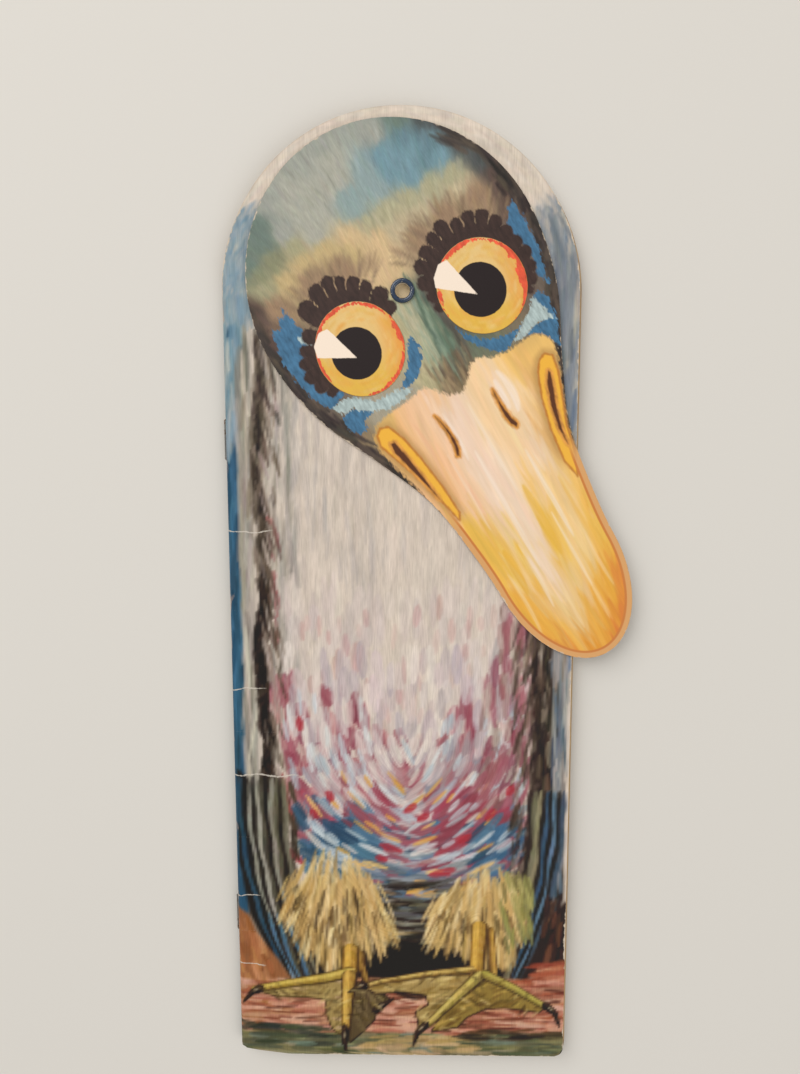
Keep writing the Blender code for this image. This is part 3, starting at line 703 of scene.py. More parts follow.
BLUES = (
    ((-39.5, -5), (-38.3, -9.4), (-36.2, -8.2), (-35, -11.6), (-33.8, -10.2), (-32.9, -13.2), (-31.6, -8.6),
     (-30.6, -5), (-31.4, 1), (-36, 3), (-35.6, 8), (-35.8, 13), (-31, 14.5), (-28.5, 17.2), (-31.5, 17.6),
     (-34.2, 19.6), (-37.6, 14.6), (-39.4, 8), (-40.4, 0)),
    ((-33.2, 22.6), (-29.5, 21.6), (-26.6, 23.6), (-23.6, 25.2), (-27.6, 26.4), (-29.2, 29.4), (-31.8, 29),
     (-33.6, 26)),
    ((-14.4, 24), (-11.4, 21.6), (-8.4, 17.8), (-6, 13.6), (-4.9, 12), (-3.3, 15.2), (-4.6, 19.4), (-8, 23),
     (-11.4, 24.6)),
    ((8, 16.6), (10.4, 20.6), (13.6, 23.8), (17.6, 25.6), (22.6, 26), (25.4, 25.6), (21.6, 28), (17, 29.8),
     (13.4, 27.2), (9.6, 22.4)),
    ((39.2, -6.2), (40, 0.5), (39.6, 9), (38.4, 14.6), (37.4, 19.4), (35.8, 16), (36.6, 10), (36, 4),
     (32.6, 1.8), (35.4, -1.6), (37.2, -4.2)),
    ((30.8, 21), (33.6, 19.2), (35.2, 22.2), (34.8, 28.6), (33, 33.2), (31.6, 36.6), (29.6, 32), (27.2, 29.6),
     (24, 29.4), (28, 27.4), (31.4, 27.6), (32.6, 24.6)),
)
PALES = (
    ((-34.6, 18.8), (-31, 18), (-27.6, 19), (-22, 23.2), (-16, 23.6), (-11.2, 25.4), (-14.4, 26.8),
     (-20, 27.2), (-25.6, 25), (-29.4, 21.8), (-33, 22)),
    ((20.4, 28.6), (25.6, 25.4), (29.6, 22.4), (31.4, 20.2), (33, 24.6), (34.2, 29.2), (31.6, 27.6),
     (27.6, 27.6), (23.6, 29)),
    ((-31.2, 1.2), (-33.4, -3.4), (-30.2, -4.2), (-28.6, -1.6)),
)
BILL_EDGE = (
    (-28.8, 36), (-28.6, 32.4), (-25.6, 29.2), (-20.4, 28.4), (-14, 27.9), (-8.4, 26.8), (-6, 29.2),
    (-3.4, 32.2), (0.6, 33.8), (3.8, 31.4), (6.6, 27.9), (10, 27.4), (13.2, 29.4), (17.4, 30.2), (21.6, 29.9),
    (26, 29.4), (29, 31), (30.4, 34.2), (30, 37.4), (28.4, 42.4), (25.4, 50), (22.8, 57), (21.2, 65),
    (30, 80), (30, 140), (-30, 140), (-30, 84), (-21.4, 72), (-22.4, 62), (-24.6, 52), (-27.2, 43),
)
LOOPS = (
    ((-25.4, 30.8), (-23, 31.6), (-21, 36.5), (-19.4, 44), (-18, 54), (-17.4, 64), (-18.6, 66), (-20.6, 57),
     (-23.2, 48), (-26.2, 40), (-27.8, 35.4), (-27.2, 32.2)),
    ((26.6, 36), (28.4, 37.6), (27.8, 42), (25.4, 49), (22.4, 57), (20.6, 66), (18, 72), (16.8, 66),
     (17.8, 56), (19.8, 47), (22.4, 40), (24.4, 37)),
)
SLITS = (
    ((-24.9, 36.2), (-23.7, 36.4), (-22.6, 42), (-21.4, 50), (-20.6, 57.6), (-21.4, 54), (-23.4, 46),
     (-25.2, 39)),
    ((25.2, 40.8), (25.6, 41.6), (24.2, 46), (22.2, 51.4), (20.6, 58), (20, 62.4), (19.9, 57), (21.2, 50),
     (23.2, 44)),
    ((-9.7, 35.6), (-8.9, 38.2), (-8.3, 41), (-8.0, 44.2), (-8.3, 47.4), (-9.2, 49.4), (-9.8, 49),
     (-9.1, 46.6), (-8.8, 43), (-9.1, 39)),
    ((8.6, 37.4), (8.8, 40.6), (8.9, 44), (9.5, 47.4), (10.2, 49.6), (9.5, 50.4), (8.5, 48.6), (8.0, 45.8),
     (8.2, 42), (8.4, 39)),
)
WEDGES = (
    ((-20.9, 9.8), (-24.2, -1.6), (-27, -1.9), (-30.2, 0.8), (-30.9, 4.1)),
    ((18.2, 11.8), (15.2, -1), (12.6, -1.2), (9.6, 1.4), (8.6, 4.2)),
)


def ring_width(eye, number, x, y):
    """How much wider the orange ring is, round that eye, than a point's depth in it."""
    cx, cy = eye[:2]
    degrees = np.degrees(np.arctan2(x - cx, -(y - cy)))
    turns, widths = np.array(RINGS[number]).T
    return np.interp(degrees, turns, widths) - ellipse_distance(eye, x, y)


def lash_depth(x, y):
    """Depth in the fingers, run together softly as a fifth of the log of the sum of exp(5 depth). Near the
    tips it is kept under the deepest one's lead over the next, so that a thin gap stays."""
    fingers, tips = [], []
    for (cx, cy, *_), lashes in zip(EYES, LASHES):
        for degrees, reach, half in lashes:
            s, c = math.sin(math.radians(degrees)), -math.cos(math.radians(degrees))
            tip = reach - half
            fingers.append(finger_distance((cx + 9 * s, cy + 9 * c), (cx + tip * s, cy + tip * c),
                                           (half * 0.7, half), x, y))
        tips.append(np.hypot(x - cx, y - cy))
    fingers = np.array(fingers)
    together = 0.2 * np.log(np.exp(5 * np.clip(fingers, -8, 8)).sum(axis=0))
    second, first = np.sort(fingers, axis=0)[-2:]
    gap = 1.1 * (first - second) - 0.3 + 3 * (1 - ease(15.4, 17.4, np.minimum(*tips)))
    return np.minimum(together, gap)


def head_masks(x, y):
    """Every crisp shape's depth at points, in millimetres, positive inside."""
    rings = [np.minimum(ring_width(eye, number, x, y), 3 * ellipse_distance(eye, x, y) - 0.5)
             for number, eye in enumerate(EYES)]
    return {
        "pale": any_of(PALES, x, y), "blue": any_of(BLUES, x, y), "lash": lash_depth(x, y),
        "bill": polygon_distance(BILL_EDGE, x, y), "loop": any_of(LOOPS, x, y), "slit": any_of(SLITS, x, y),
        "eye": np.maximum(*[ellipse_distance(eye, x, y) for eye in EYES]), "ring": np.maximum(*rings),
        "pupil": np.maximum(*[ellipse_distance(eye, x, y) for eye in PUPILS]), "wedge": any_of(WEDGES, x, y),
    }


print("head shapes:", len(EYES), "eyes,", sum(map(len, LASHES)), "lashes")

# %% [markdown]
# The head needs two pictures: the feathered skin, and the bright parts, which are the bill and the irises.
# The material changes from one to the other exactly at the shapes' edges.


# %% Paint the head's feathers
def hair(picture, rng, count, across, along, length, width, contrast, lean, strength=0.5):
    """Short strokes that keep the colour under them, a little lighter or darker."""
    under = picture.rgb.copy()
    for _ in range(count):
        x, y = rng.uniform(*across), rng.uniform(*along)
        row, column = int((y - picture.bottom) / GRAIN), int((x - picture.left) / GRAIN)
        tone = under[row, column] * (1 + rng.normal(0, contrast)) + rng.normal(0, 0.01, 3)
        picture.dab(x, y, lean(x, y) + rng.normal(0, 0.11), rng.uniform(*length), rng.uniform(*width),
                    np.clip(tone, 0, 1), strength=strength, phase=rng.uniform(0, 6))


DARK_SIDES = (  # stretches along the head's edge: u, v from and to, half width of the dark there
    ((-41.5, -26), (-42.6, -6), 1.6), ((-42.6, -6), (-39.5, 16), 2.0), ((-39.5, 16), (-32.5, 33), 2.4),
    ((-32.5, 33), (-25.6, 49), 1.5), ((-25.6, 49), (-21.6, 64), 0.7), ((31.5, -33), (39, -22), 2.6),
    ((38.5, -24), (42, -4), 2.4), ((42, -4), (39.5, 16), 1.8), ((39.5, 16), (32.5, 34), 2.4),
    ((32.5, 34), (25.6, 50), 1.5), ((25.6, 50), (21.8, 64), 0.7),
)


def feather_picture():
    """The crown, the brows, the strip between the eyes and the dark sides."""
    rng = np.random.default_rng(5)
    p = Picture(-46, 46, -52, 126, "#a09a88")
    p.rgb = spread(CROWN, p.x, p.y)
    hair(p, rng, 4200, (-44, 44), (-50, 30), (2.5, 6.5), (0.35, 0.75), 0.075,
         lambda x, y: UPRIGHT + 0.012 * x * (1 if y < -10 else 0.3))
    for (cx, cy, *_), low, high, count in ((EYES[0], -52, 44, 150), (EYES[1], -46, 58, 170)):
        for _ in range(count):
            turn, out = math.radians(rng.uniform(low, high)), rng.uniform(20.5, 26.5)
            tone = tinted(rng, rng.choice(["#8f7860", "#806a56", "#a58c6c", "#756352"]), 0.02)
            p.dab(cx + out * math.sin(turn), cy - out * math.cos(turn), turn - UPRIGHT + rng.normal(0, 0.15),
                  rng.uniform(3, 6.5), rng.uniform(0.5, 1.0), tone, strength=0.4, phase=rng.uniform(0, 6))
    for (ax, ay), (bx, by), half in DARK_SIDES:
        turn = math.atan2(by - ay, bx - ax)
        for _ in range(int(10 * math.hypot(bx - ax, by - ay) / 4)):
            t, off = rng.uniform(0, 1), rng.normal(0, 0.5) * half
            tone = tinted(rng, rng.choice(["#3a3431", "#4a413b", "#5a4d42", "#2f2a29"]), 0.015)
            p.dab(ax + (bx - ax) * t - math.sin(turn) * off, ay + (by - ay) * t + math.cos(turn) * off,
                  turn + rng.normal(0, 0.12), rng.uniform(4, 9), rng.uniform(0.7, 1.6), tone, strength=0.75,
                  phase=rng.uniform(0, 6))
    strokes(p, rng, 60, (0.4, 5.4), (0, 29), {"#5f7360": 1, "#6f8270": 1, "#8a9a86": 1, "#4d5f52": 1},
            (4, 10), (0.5, 1.1), UPRIGHT, spread=0.015, strength=0.7)
    strokes(p, rng, 60, (-4.6, 0.4), (0, 29), {"#c2baa0": 1, "#b4ae92": 1, "#a8a688": 1, "#8fa08a": 1},
            (4, 10), (0.5, 1.1), UPRIGHT, spread=0.015, strength=0.7)
    strokes(p, rng, 50, (5.2, 9), (1, 26), {"#4f4a44": 1, "#5e574e": 1, "#6f685a": 1}, (4, 9), (0.5, 1.1),
            UPRIGHT + 0.05, spread=0.015, strength=0.7)
    strokes(p, rng, 90, (-5, 8), (23, 32.5), {"#857258": 1, "#6c5b48": 1, "#a08a6a": 1, "#5d5144": 1}, (3, 6),
            (0.5, 1.0), UPRIGHT, spread=0.015, strength=0.65)
    return p


# %% [markdown]
# The bill and the irises are the brightest inks on the card. They get a picture of their own, which the
# material lays over the feathers only inside the bill's and the eyes' outlines, so that no edge is blurred.


# %% Paint the bill and the irises
def bright_picture():
    """Long streaks run down the bill. The irises go from amber at the lower left to cream and orange."""
    rng = np.random.default_rng(8)
    p = Picture(-46, 46, -52, 126, "#ecc690")
    x, y = p.x, p.y
    p.rgb = spread(BILL, x, y)
    hair(p, rng, 1000, (-22, 22), (28, 122), (10, 26), (0.7, 1.8), 0.03,
         lambda u, v: UPRIGHT + 0.0003 * u * max(v - 60, -20))
    for u, v, length, width, colour, bend in BILL_LIGHTS:
        p.dab(u, v, UPRIGHT, length, width, colour, bend=bend, strength=0.7)
    shadow = any_of(LOOPS, x, y)
    p.wash(ease(-2.6, -0.4, shadow) * (1 - ease(60, 70, y)) * 0.55, "#a8824c")
    p.wash(ease(0.2, 1.4, 4.5 - abs(abs(x) - 24)) * (1 - ease(27, 36, y)) * 0.5, "#b99b68")
    for cx, cy, a, b in EYES:
        down, right = (y - cy) / b, (x - cx) / a
        near_eye = ease(-2.5, -1.5, ellipse_distance((cx, cy, a, b), x, y))
        p.wash(near_eye, "#e2be7c")
        p.wash(near_eye * ease(-0.2, 0.8, down - 0.6 * right), "#dfb34e")
        p.wash(near_eye * ease(0.35, 0.95, right + 0.3 * down) * 0.9, "#e29c4a")
        for _ in range(150):
            turn, out = rng.uniform(0, 6.28), rng.uniform(8, 12.5)
            tone = tinted(rng, rng.choice(["#e6c88c", "#dcae4c", "#e0b060", "#e3a04c"]), 0.02)
            p.dab(cx + out * math.cos(turn), cy + out * math.sin(turn), turn + UPRIGHT, rng.uniform(2, 5),
                  rng.uniform(0.6, 1.3), tone, strength=0.35, phase=rng.uniform(0, 6))
    return p


FEATHER_PICTURE = feather_picture()
BRIGHT_PICTURE = bright_picture()
print("head pictures:", FEATHER_PICTURE.rgb.shape, "points each")

# %% [markdown]
# A sheet of card is a grid of points with a second, coarser grid one thickness behind it. Only the printed
# face needs the fine grid, because its points carry the painting. The two are joined all round by a strip
# of faces, and round the eyelet's hole too, so the card is one closed solid.


# %% Make a closed card from grids
FAR = 9.0  # mm: a depth that no line or edge reaches


def ring_around(rows, columns):
    """The grid positions along a rectangle's border, once round: up one side, across, and back."""
    (r0, r1), (c0, c1) = rows, columns
    bottom = [(r0, c) for c in range(c0, c1)]
    right = [(r, c1) for r in range(r0, r1)]
    top = [(r1, c) for c in range(c1, c0, -1)]
    left = [(r, c0) for r in range(r1, r0, -1)]
    return bottom + right + top + left


def closed_card(name, front, back, coarse, hole=None, layers=()):
    """A mesh from a fine front grid and a back grid that has every coarse-th row and column. hole is
    ((first row, last row), (first column, last column)) of a block of cells left out of both. layers holds
    an array over the front grid for each attribute; the back takes a depth of FAR, or bare card."""
    rows, columns = front.shape[:2]
    coarse_columns = back.shape[1]
    first_back = rows * columns
    points = np.concatenate([front.reshape(-1, 3), back.reshape(-1, 3)]) * MM

    def quads(height, width, block, first, flip):
        r, c = np.meshgrid(np.arange(height - 1), np.arange(width - 1), indexing="ij")
        if block:
            (r0, r1), (c0, c1) = block
            keep = ~((r >= r0) & (r < r1) & (c >= c0) & (c < c1))
            r, c = r[keep], c[keep]
        at = first + r.ravel() * width + c.ravel()
        faces = np.stack([at, at + 1, at + width + 1, at + width], axis=1)
        return (faces[:, ::-1] if flip else faces).tolist()

    def strip(fine_ring, coarse_ring, flip):
        fine = [r * columns + c for r, c in fine_ring]
        rough = [first_back + r * coarse_columns + c for r, c in coarse_ring]
        count = len(rough)
        faces = []
        for i in range(count):
            along = [fine[(i * coarse + k) % len(fine)] for k in range(coarse + 1)]
            face = along[::-1] + [rough[i], rough[(i + 1) % count]]
            faces.append(face[::-1] if flip else face)
        return faces

    small = hole and tuple(tuple(value // coarse for value in span) for span in hole)
    faces = quads(rows, columns, hole, 0, False)
    faces += quads(back.shape[0], coarse_columns, small, first_back, True)
    faces += strip(ring_around((0, rows - 1), (0, columns - 1)),
                   ring_around((0, back.shape[0] - 1), (0, coarse_columns - 1)), False)
    if hole:
        faces += strip(ring_around(*hole), ring_around(*small), True)
    mesh = bpy.data.meshes.new(name)
    mesh.from_pydata(points, [], faces)
    spare = len(points) - first_back
    for key, value in dict(layers).items():
        kind, field = {2: ("FLOAT", "value"), 3: ("FLOAT_VECTOR", "vector"), 4: ("FLOAT_COLOR", "color")}[
            value.shape[2] if value.ndim == 3 else 2]
        value = value.reshape((first_back,) + value.shape[2:])
        rest = np.full((spare,) + value.shape[1:], 0.7 if kind == "FLOAT_COLOR" else FAR)
        mesh.attributes.new(key, kind, "POINT").data.foreach_set(
            field, np.concatenate([value, rest]).ravel().astype(np.float32))
    printed = np.concatenate([np.ones(first_back), np.zeros(spare)]).astype(np.float32)
    mesh.attributes.new("printed", "FLOAT", "POINT").data.foreach_set("value", printed)
    if hole:
        drop_loose_points(mesh)
    finish_mesh(mesh)
    piece = in_scene(name, mesh)
    print(f"{name}: {len(mesh.vertices)} points, {len(mesh.polygons)} faces")
    return piece


def drop_loose_points(mesh):
    """The grid points inside a hole belong to no face, so they go."""
    work = bmesh.new()
    work.from_mesh(mesh)
    bmesh.ops.delete(work, geom=[v for v in work.verts if not v.link_faces], context="VERTS")
    work.to_mesh(mesh)
    work.free()


def in_scene(name, data):
    """A new object for a mesh, lamp or camera, linked to the scene."""
    made = bpy.data.objects.new(name, data)
    bpy.context.scene.collection.objects.link(made)
    return made


def finish_mesh(mesh):
    """Smooth faces with crisp cut edges."""
    mesh.validate()
    mesh.polygons.foreach_set("use_smooth", np.ones(len(mesh.polygons), bool))
    mesh.set_sharp_from_angle(angle=math.radians(40))
    mesh.update()


def linear(rgb):
    """sRGB numbers turned to linear light: c / 12.92 below 0.04045, else ((c + 0.055) / 1.055) ** 2.4."""
    rgb = np.clip(rgb, 0, 1)
    return np.where(rgb <= 0.04045, rgb / 12.92, ((rgb + 0.055) / 1.055) ** 2.4)


SHEEN = 0.012  # the varnish's own soft reflection, which lies over every ink


def with_alpha(rgb):
    """Linear ink colours with an alpha of 1, less the light that the varnish will add."""
    ink = linear(rgb)
    return np.concatenate([np.maximum(ink - SHEEN, ink * 0.35), np.ones(rgb.shape[:-1] + (1,))], axis=-1)


def round_hole(x, y, rows, columns, centre, radius, reach=4.0):
    """Moves a grid so that a block's square border becomes a circle. With s as how many half blocks out a
    point is, it goes to the circle s radii wide at s = 1 and stays where it was from s = reach."""
    (r0, r1), (c0, c1) = rows, columns
    mx, my = x[(r0 + r1) // 2, (c0 + c1) // 2], y[(r0 + r1) // 2, (c0 + c1) // 2]
    hx = abs(x[(r0 + r1) // 2, c1] - x[(r0 + r1) // 2, c0]) / 2
    hy = abs(y[r1, (c0 + c1) // 2] - y[r0, (c0 + c1) // 2]) / 2
    a, b = (x - mx) / hx, (y - my) / hy
    s, out = np.maximum(abs(a), abs(b)), np.maximum(np.hypot(a, b), 1e-9)
    keep = ease(1.0, reach, s)
    return (x * keep + (centre[0] + radius * s * a / out) * (1 - keep),
            y * keep + (centre[1] + radius * s * b / out) * (1 - keep))


# %% [markdown]
# The book's outline is straight up the sides and a half circle at the top. Rows of the grid lie level, and
# above the sides they are spaced by equal angles, so that the arch stays round. At the foot of the fold the
# outline is a long shallow quarter ellipse, worn by years of standing on a shelf.

# %% The book's outline
SPINE_CORNER = (18.0, 2.2)
CORNER_RADIUS = 3.0
HOLE_RADIUS = 2.55
HOLE_CELLS = 6  # half the width of the block of cells that the hole takes the place of
STEEP = math.radians(89.3)  # rows stop here, just short of an arch's top, where they would have no width


def level_rows(straight, arch, low=BOTTOM):
    """Heights of the rows: even from the foot to the arch, then by angle round it."""
    foot = low + (ARCH_CENTRE_Y - low) * np.linspace(0, 1, straight + 1)
    angle = np.linspace(0, STEEP, arch + 1)[1:]
    foot[0] += 0.02
    return np.concatenate([foot, ARCH_CENTRE_Y + ARCH_RADIUS * np.sin(angle)])


def left_edge(y):
    """The outline's left side: the arch above, the shallow quarter ellipse at the foot of the fold."""
    length, rise = SPINE_CORNER
    arch = np.sqrt(np.clip(ARCH_RADIUS**2 - np.clip(y - ARCH_CENTRE_Y, 0, None) ** 2, 0, None))
    drop = np.clip((BOTTOM + rise - y) / rise, 0, 1)
    return np.where(y > 0, -arch, -ARCH_RADIUS + length * (1 - np.sqrt(1 - drop**2)))


def right_edge(y, creep=0.0):
    """The outline's right side: the arch above, a rounded corner at the foot. creep moves it outwards."""
    arch = np.sqrt(np.clip(ARCH_RADIUS**2 - np.clip(y - ARCH_CENTRE_Y, 0, None) ** 2, 0, None))
    drop = np.clip((BOTTOM + CORNER_RADIUS - y) / CORNER_RADIUS, 0, 1)
    return np.where(y > 0, arch, RIGHT - CORNER_RADIUS * (1 - np.sqrt(1 - drop**2))) + creep


def unrolled(x, radius):
    """Distance along a sheet from the top of its fold: x - SPINE_X on the plate, and on the fold minus
    radius times the angle from the top."""
    over = np.clip((SPINE_X - x) / radius, 0, 1)
    return np.where(x >= SPINE_X, x - SPINE_X, -radius * np.arcsin(over))


def folded(w, radius, plate, reach, side):
    """A sheet's place and slope at unrolled distance w: round the fold for w < 0, then from radius up to
    plate, both measured from the fold's axis, over reach. side is 1 above the axis and -1 below it."""
    angle = np.clip(w, None, 0) / radius
    x = SPINE_X + np.where(w < 0, radius * np.sin(angle), w)
    t = np.clip(w / reach, 0, 1)
    height = np.where(w < 0, radius * np.cos(angle), radius + (plate - radius) * t * t * (3 - 2 * t))
    slope = np.where(w < 0, angle, -np.arctan((plate - radius) * 6 * t * (1 - t) / reach))
    return x, SPINE_Z + side * height, np.sin(slope), side * np.cos(slope)


print("outline: arch radius", round(float(ARCH_RADIUS), 2), "mm about y =", round(ARCH_CENTRE_Y, 2), "mm")

# %% [markdown]
# The cover is one card bent round the fold, but its two halves swing apart, so each half is its own piece
# and both meet in the middle of the bend. The card leaves the bend at the thickness of the pile and rises
# softly to the plate. The front half is printed with the bird, so it carries the painting in its points.


# %% Bend a sheet round the fold
def shares(in_fold, on_plate, radius):
    """Where columns lie across a row, from 0 to 1: in_fold cells round the quarter bend, the rest even."""
    bend = radius * math.pi / 2
    part = bend / (bend + RIGHT - SPINE_X)
    return np.concatenate([np.linspace(0, part, in_fold + 1)[:-1], np.linspace(part, 1, on_plate + 1)])


def block_near(index, coarse, half):
    """The span of 2 half cells round index whose ends are whole coarse steps."""
    first = int(round((index - half) / coarse)) * coarse
    return first, first + 2 * half


def bent_sheet(rows, across, radius, plate, reach, side, thick, coarse, hole=False, creep=0.0, wave=None):
    """Outer and inner grids of a sheet bent round the fold, with the unrolled distance and height of each
    outer point. The inner grid is the outer one moved by the thickness along its normal."""
    left = unrolled(left_edge(rows), radius)
    right = right_edge(rows, creep) - SPINE_X
    w = left[:, None] + (right - left)[:, None] * across[None, :]
    y = rows[:, None] * np.ones_like(w)
    block = None
    if hole:
        row = int(np.argmin(abs(rows - PIVOT_Y)))
        column = int(np.argmin(abs(w[row] - (PIVOT_X - SPINE_X))))
        block = block_near(row, coarse, HOLE_CELLS), block_near(column, coarse, HOLE_CELLS)
        w, y = round_hole(w, y, *block, (PIVOT_X - SPINE_X, PIVOT_Y), HOLE_RADIUS)
    x, z, nx, nz = folded(w, radius, plate, reach, side)
    if wave:
        z = z + wave(x, y) * ease(0, 25, w)
    outer = np.stack([x, y, z], axis=-1)
    inner = outer - thick * np.stack([nx, np.zeros_like(nx), nz], axis=-1)
    return outer, inner[::coarse, ::coarse], block, w, y


COARSE = 6
COVER_ROWS = level_rows(396, 126)
COVER_SHARES = shares(12, 156, FOLD_RADIUS)
COVER_REACH = 18.0
outer, inner, block, w, y = bent_sheet(COVER_ROWS, COVER_SHARES, FOLD_RADIUS, FRONT_HIGH[2] - SPINE_Z,
                                       COVER_REACH, 1, CARD, COARSE, hole=True)
print("front cover grid", outer.shape, "hole block", block)

# %% [markdown]
# The material needs to know a few distances: how far a point is from the cut edge and from the fold, and
# where it lies above the nearest crack of the fold. They change evenly from point to point, so the thin
# lines that the material draws from them stay sharp.

# %% Measure wear distances on the front cover
CRACKS = ((24.5, -38.0), (-24.0, -41.0), (-52.0, -31.0), (-92.0, -44.0), (-115.0, -43.0))


def edge_distance(x, y, creep=0.0):
    """Distance in from the outline: from the arch's radius above its centre, else from the nearest side."""
    arch = ARCH_RADIUS - np.hypot(x, y - ARCH_CENTRE_Y)
    sides = np.minimum(np.minimum(right_edge(y, creep) - x, x - left_edge(y)), y - BOTTOM)
    return np.where(y > ARCH_CENTRE_Y, arch, sides)


def crack_lines(x, y):
    """Height above the nearest crack's line, and how far inside its end a point is. A crack rises a little
    as it leaves the fold."""
    heights = np.stack([y - line - 0.02 * (x - SPINE_X) for line, _ in CRACKS])
    nearest = np.argmin(abs(heights), axis=0)
    ends = np.array([end for _, end in CRACKS])[nearest]
    return np.take_along_axis(heights, nearest[None], axis=0)[0], ends - x


def cover_wear(x, w, y):
    """The distances that wear a cover: from its free cut edges, round the fold, and from its cracks."""
    crack, crack_end = crack_lines(x, y)
    free = np.minimum(right_edge(y) - x, y - BOTTOM)
    return {"edge": np.where(y < ARCH_CENTRE_Y, free, edge_distance(x, y)),
            "fold": w + FOLD_RADIUS * math.pi / 2, "crack": crack, "crack_end": crack_end}


LEVEL_WIDTH = 44.0  # mm across the strokes for one level of the breast


def flow(x, y):
    """Coordinates across and along the strokes: the breast's level in widths on the belly, else the
    distance from the middle line, and the height."""
    inside = (1 - ease(0.92, 1.08, breast_level(x, y))) * (1 - ease(-80, -40, y))
    across = breast_level(x, y) * LEVEL_WIDTH * inside + abs(x) * (1 - inside)
    return np.stack([across, y, np.zeros_like(y)], axis=-1)


flat_x = SPINE_X + w
front_cover = closed_card("front_cover_print", outer, inner, COARSE, block, layers={
    "paint": with_alpha(BODY_PICTURE.at(flat_x, y)),
    **cover_wear(flat_x, w, y),
    "flow": flow(flat_x, y),
})

# %% [markdown]
# The back half of the cover has no bird. It is the same card with a plain brushed wash, scuffed where the
# book has slid over tables, so it gets a quiet picture of its own: wide soft strokes of the cover's greys.


# %% Paint and make the back cover
def back_picture():
    """Wide upright strokes in the cover's quiet greys, darker to the fold."""
    rng = np.random.default_rng(21)
    p = Picture(-54, 54, -147, 147, "#b3aa9c")
    p.wash(1 - ease(-50, -20, p.x), "#6d7f88")
    strokes(p, rng, 900, (-52, 52), (-146, 146), {"#aea798": 4, "#8f979a": 3, "#c3b8a6": 3, "#78898f": 2},
            (18, 44), (2.0, 5.0), UPRIGHT, strength=0.35)
    return p


outer, inner, _, w, y = bent_sheet(level_rows(132, 42), shares(6, 54, FOLD_RADIUS), FOLD_RADIUS,
                                   SPINE_Z - BACK_LOW[2], COVER_REACH, -1, CARD, 3)
flat_x = SPINE_X + w
outer, inner, w, y, flat_x = (grid[:, ::-1] for grid in (outer, inner, w, y, flat_x))
back_cover = closed_card("back_cover_print", outer, inner, 3, layers={
    "paint": with_alpha(back_picture().at(flat_x, y)),
    **cover_wear(flat_x, w, y),
    "flow": np.stack([flat_x, y, np.zeros_like(y)], axis=-1),
})
for cover in (front_cover, back_cover):
    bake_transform(cover)
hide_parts("front_cover", "spine_fold")
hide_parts("back_cover")

# %% [markdown]
# Three sheets of soft paper lie one inside the other, and each turns a tighter bend than the one round it.
# A half sheet is a leaf. Each leaf is a thin closed piece from the middle of the bend to its fore edge,
# with the slight waves that paper takes up from damp air.

# %% Make the leaves
LEAF_REACH = 10.0
BENDS = (0.93, 0.68, 0.43)  # mm, the middle of each sheet's bend, outermost sheet first
LEAVES = (("leaf_1", 0, 1), ("leaf_2", 1, 1), ("leaf_3", 2, 1), ("leaf_4", 2, -1), ("leaf_5", 1, -1),
          ("leaf_6", 0, -1))
LEAF_ROWS = level_rows(120, 36)


def paper_wave(phase):
    """Waves of 0.05 mm, about 90 mm long across the leaf and 120 mm along it."""
    return lambda x, y: 0.05 * np.sin(x / 14 + phase) * np.sin(y / 19 + 2 * phase)


leaves = []
for number, (leaf, sheet, side) in enumerate(LEAVES):
    low, high = box_mm(leaf)
    middle = (low[2] + high[2]) / 2 + side * PAPER / 2
    radius = BENDS[sheet] + PAPER / 2
    creep = high[0] - RIGHT
    outer, inner, _, w, y = bent_sheet(LEAF_ROWS, shares(6, 60, radius), radius, side * (middle - SPINE_Z),
                                       LEAF_REACH, side, PAPER, 3, creep=creep, wave=paper_wave(number))
    edge = edge_distance(SPINE_X + w, y, creep)
    if side < 0:
        outer, inner, edge = outer[:, ::-1], inner[:, ::-1], edge[:, ::-1]
    piece = closed_card(leaf + "_paper", outer, inner, 3, layers={"edge": edge})
    if leaf == "leaf_3":
        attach(piece, "spine")
    else:
        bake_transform(piece)
    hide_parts(leaf)
    leaves.append(piece)
print("leaves:", ", ".join(piece.name for piece in leaves))

# %% [markdown]
# The head is a loose card with the same print finish. Its outline is half an oval at the crown, cheeks that
# narrow in smooth steps, and a longer half oval at the tip of the bill. Rows cross it at each distance v
# from the eyelet, so both edges are true, and its tilt is worked into the points.

# %% The head card's outline
CROWN_OVAL = (0.0, -3.0, 43.2, 45.5)
TIP_OVAL = (0.0, 92.0, 19.1, 31.0)
CHEEKS = ((-3.0, 43.2), (20.0, 39.5), (39.5, 30.6), (57.0, 23.4), (77.0, 20.1), (92.0, 19.1))
HEAD_TILT = math.radians(30)


def cheek_slopes():
    """The slope at each cheek point: level at both ends, else the mean of the slopes on both sides."""
    v, half = np.array(CHEEKS).T
    steps = np.diff(half) / np.diff(v)
    return np.concatenate([[0], (steps[:-1] + steps[1:]) / 2, [0]])


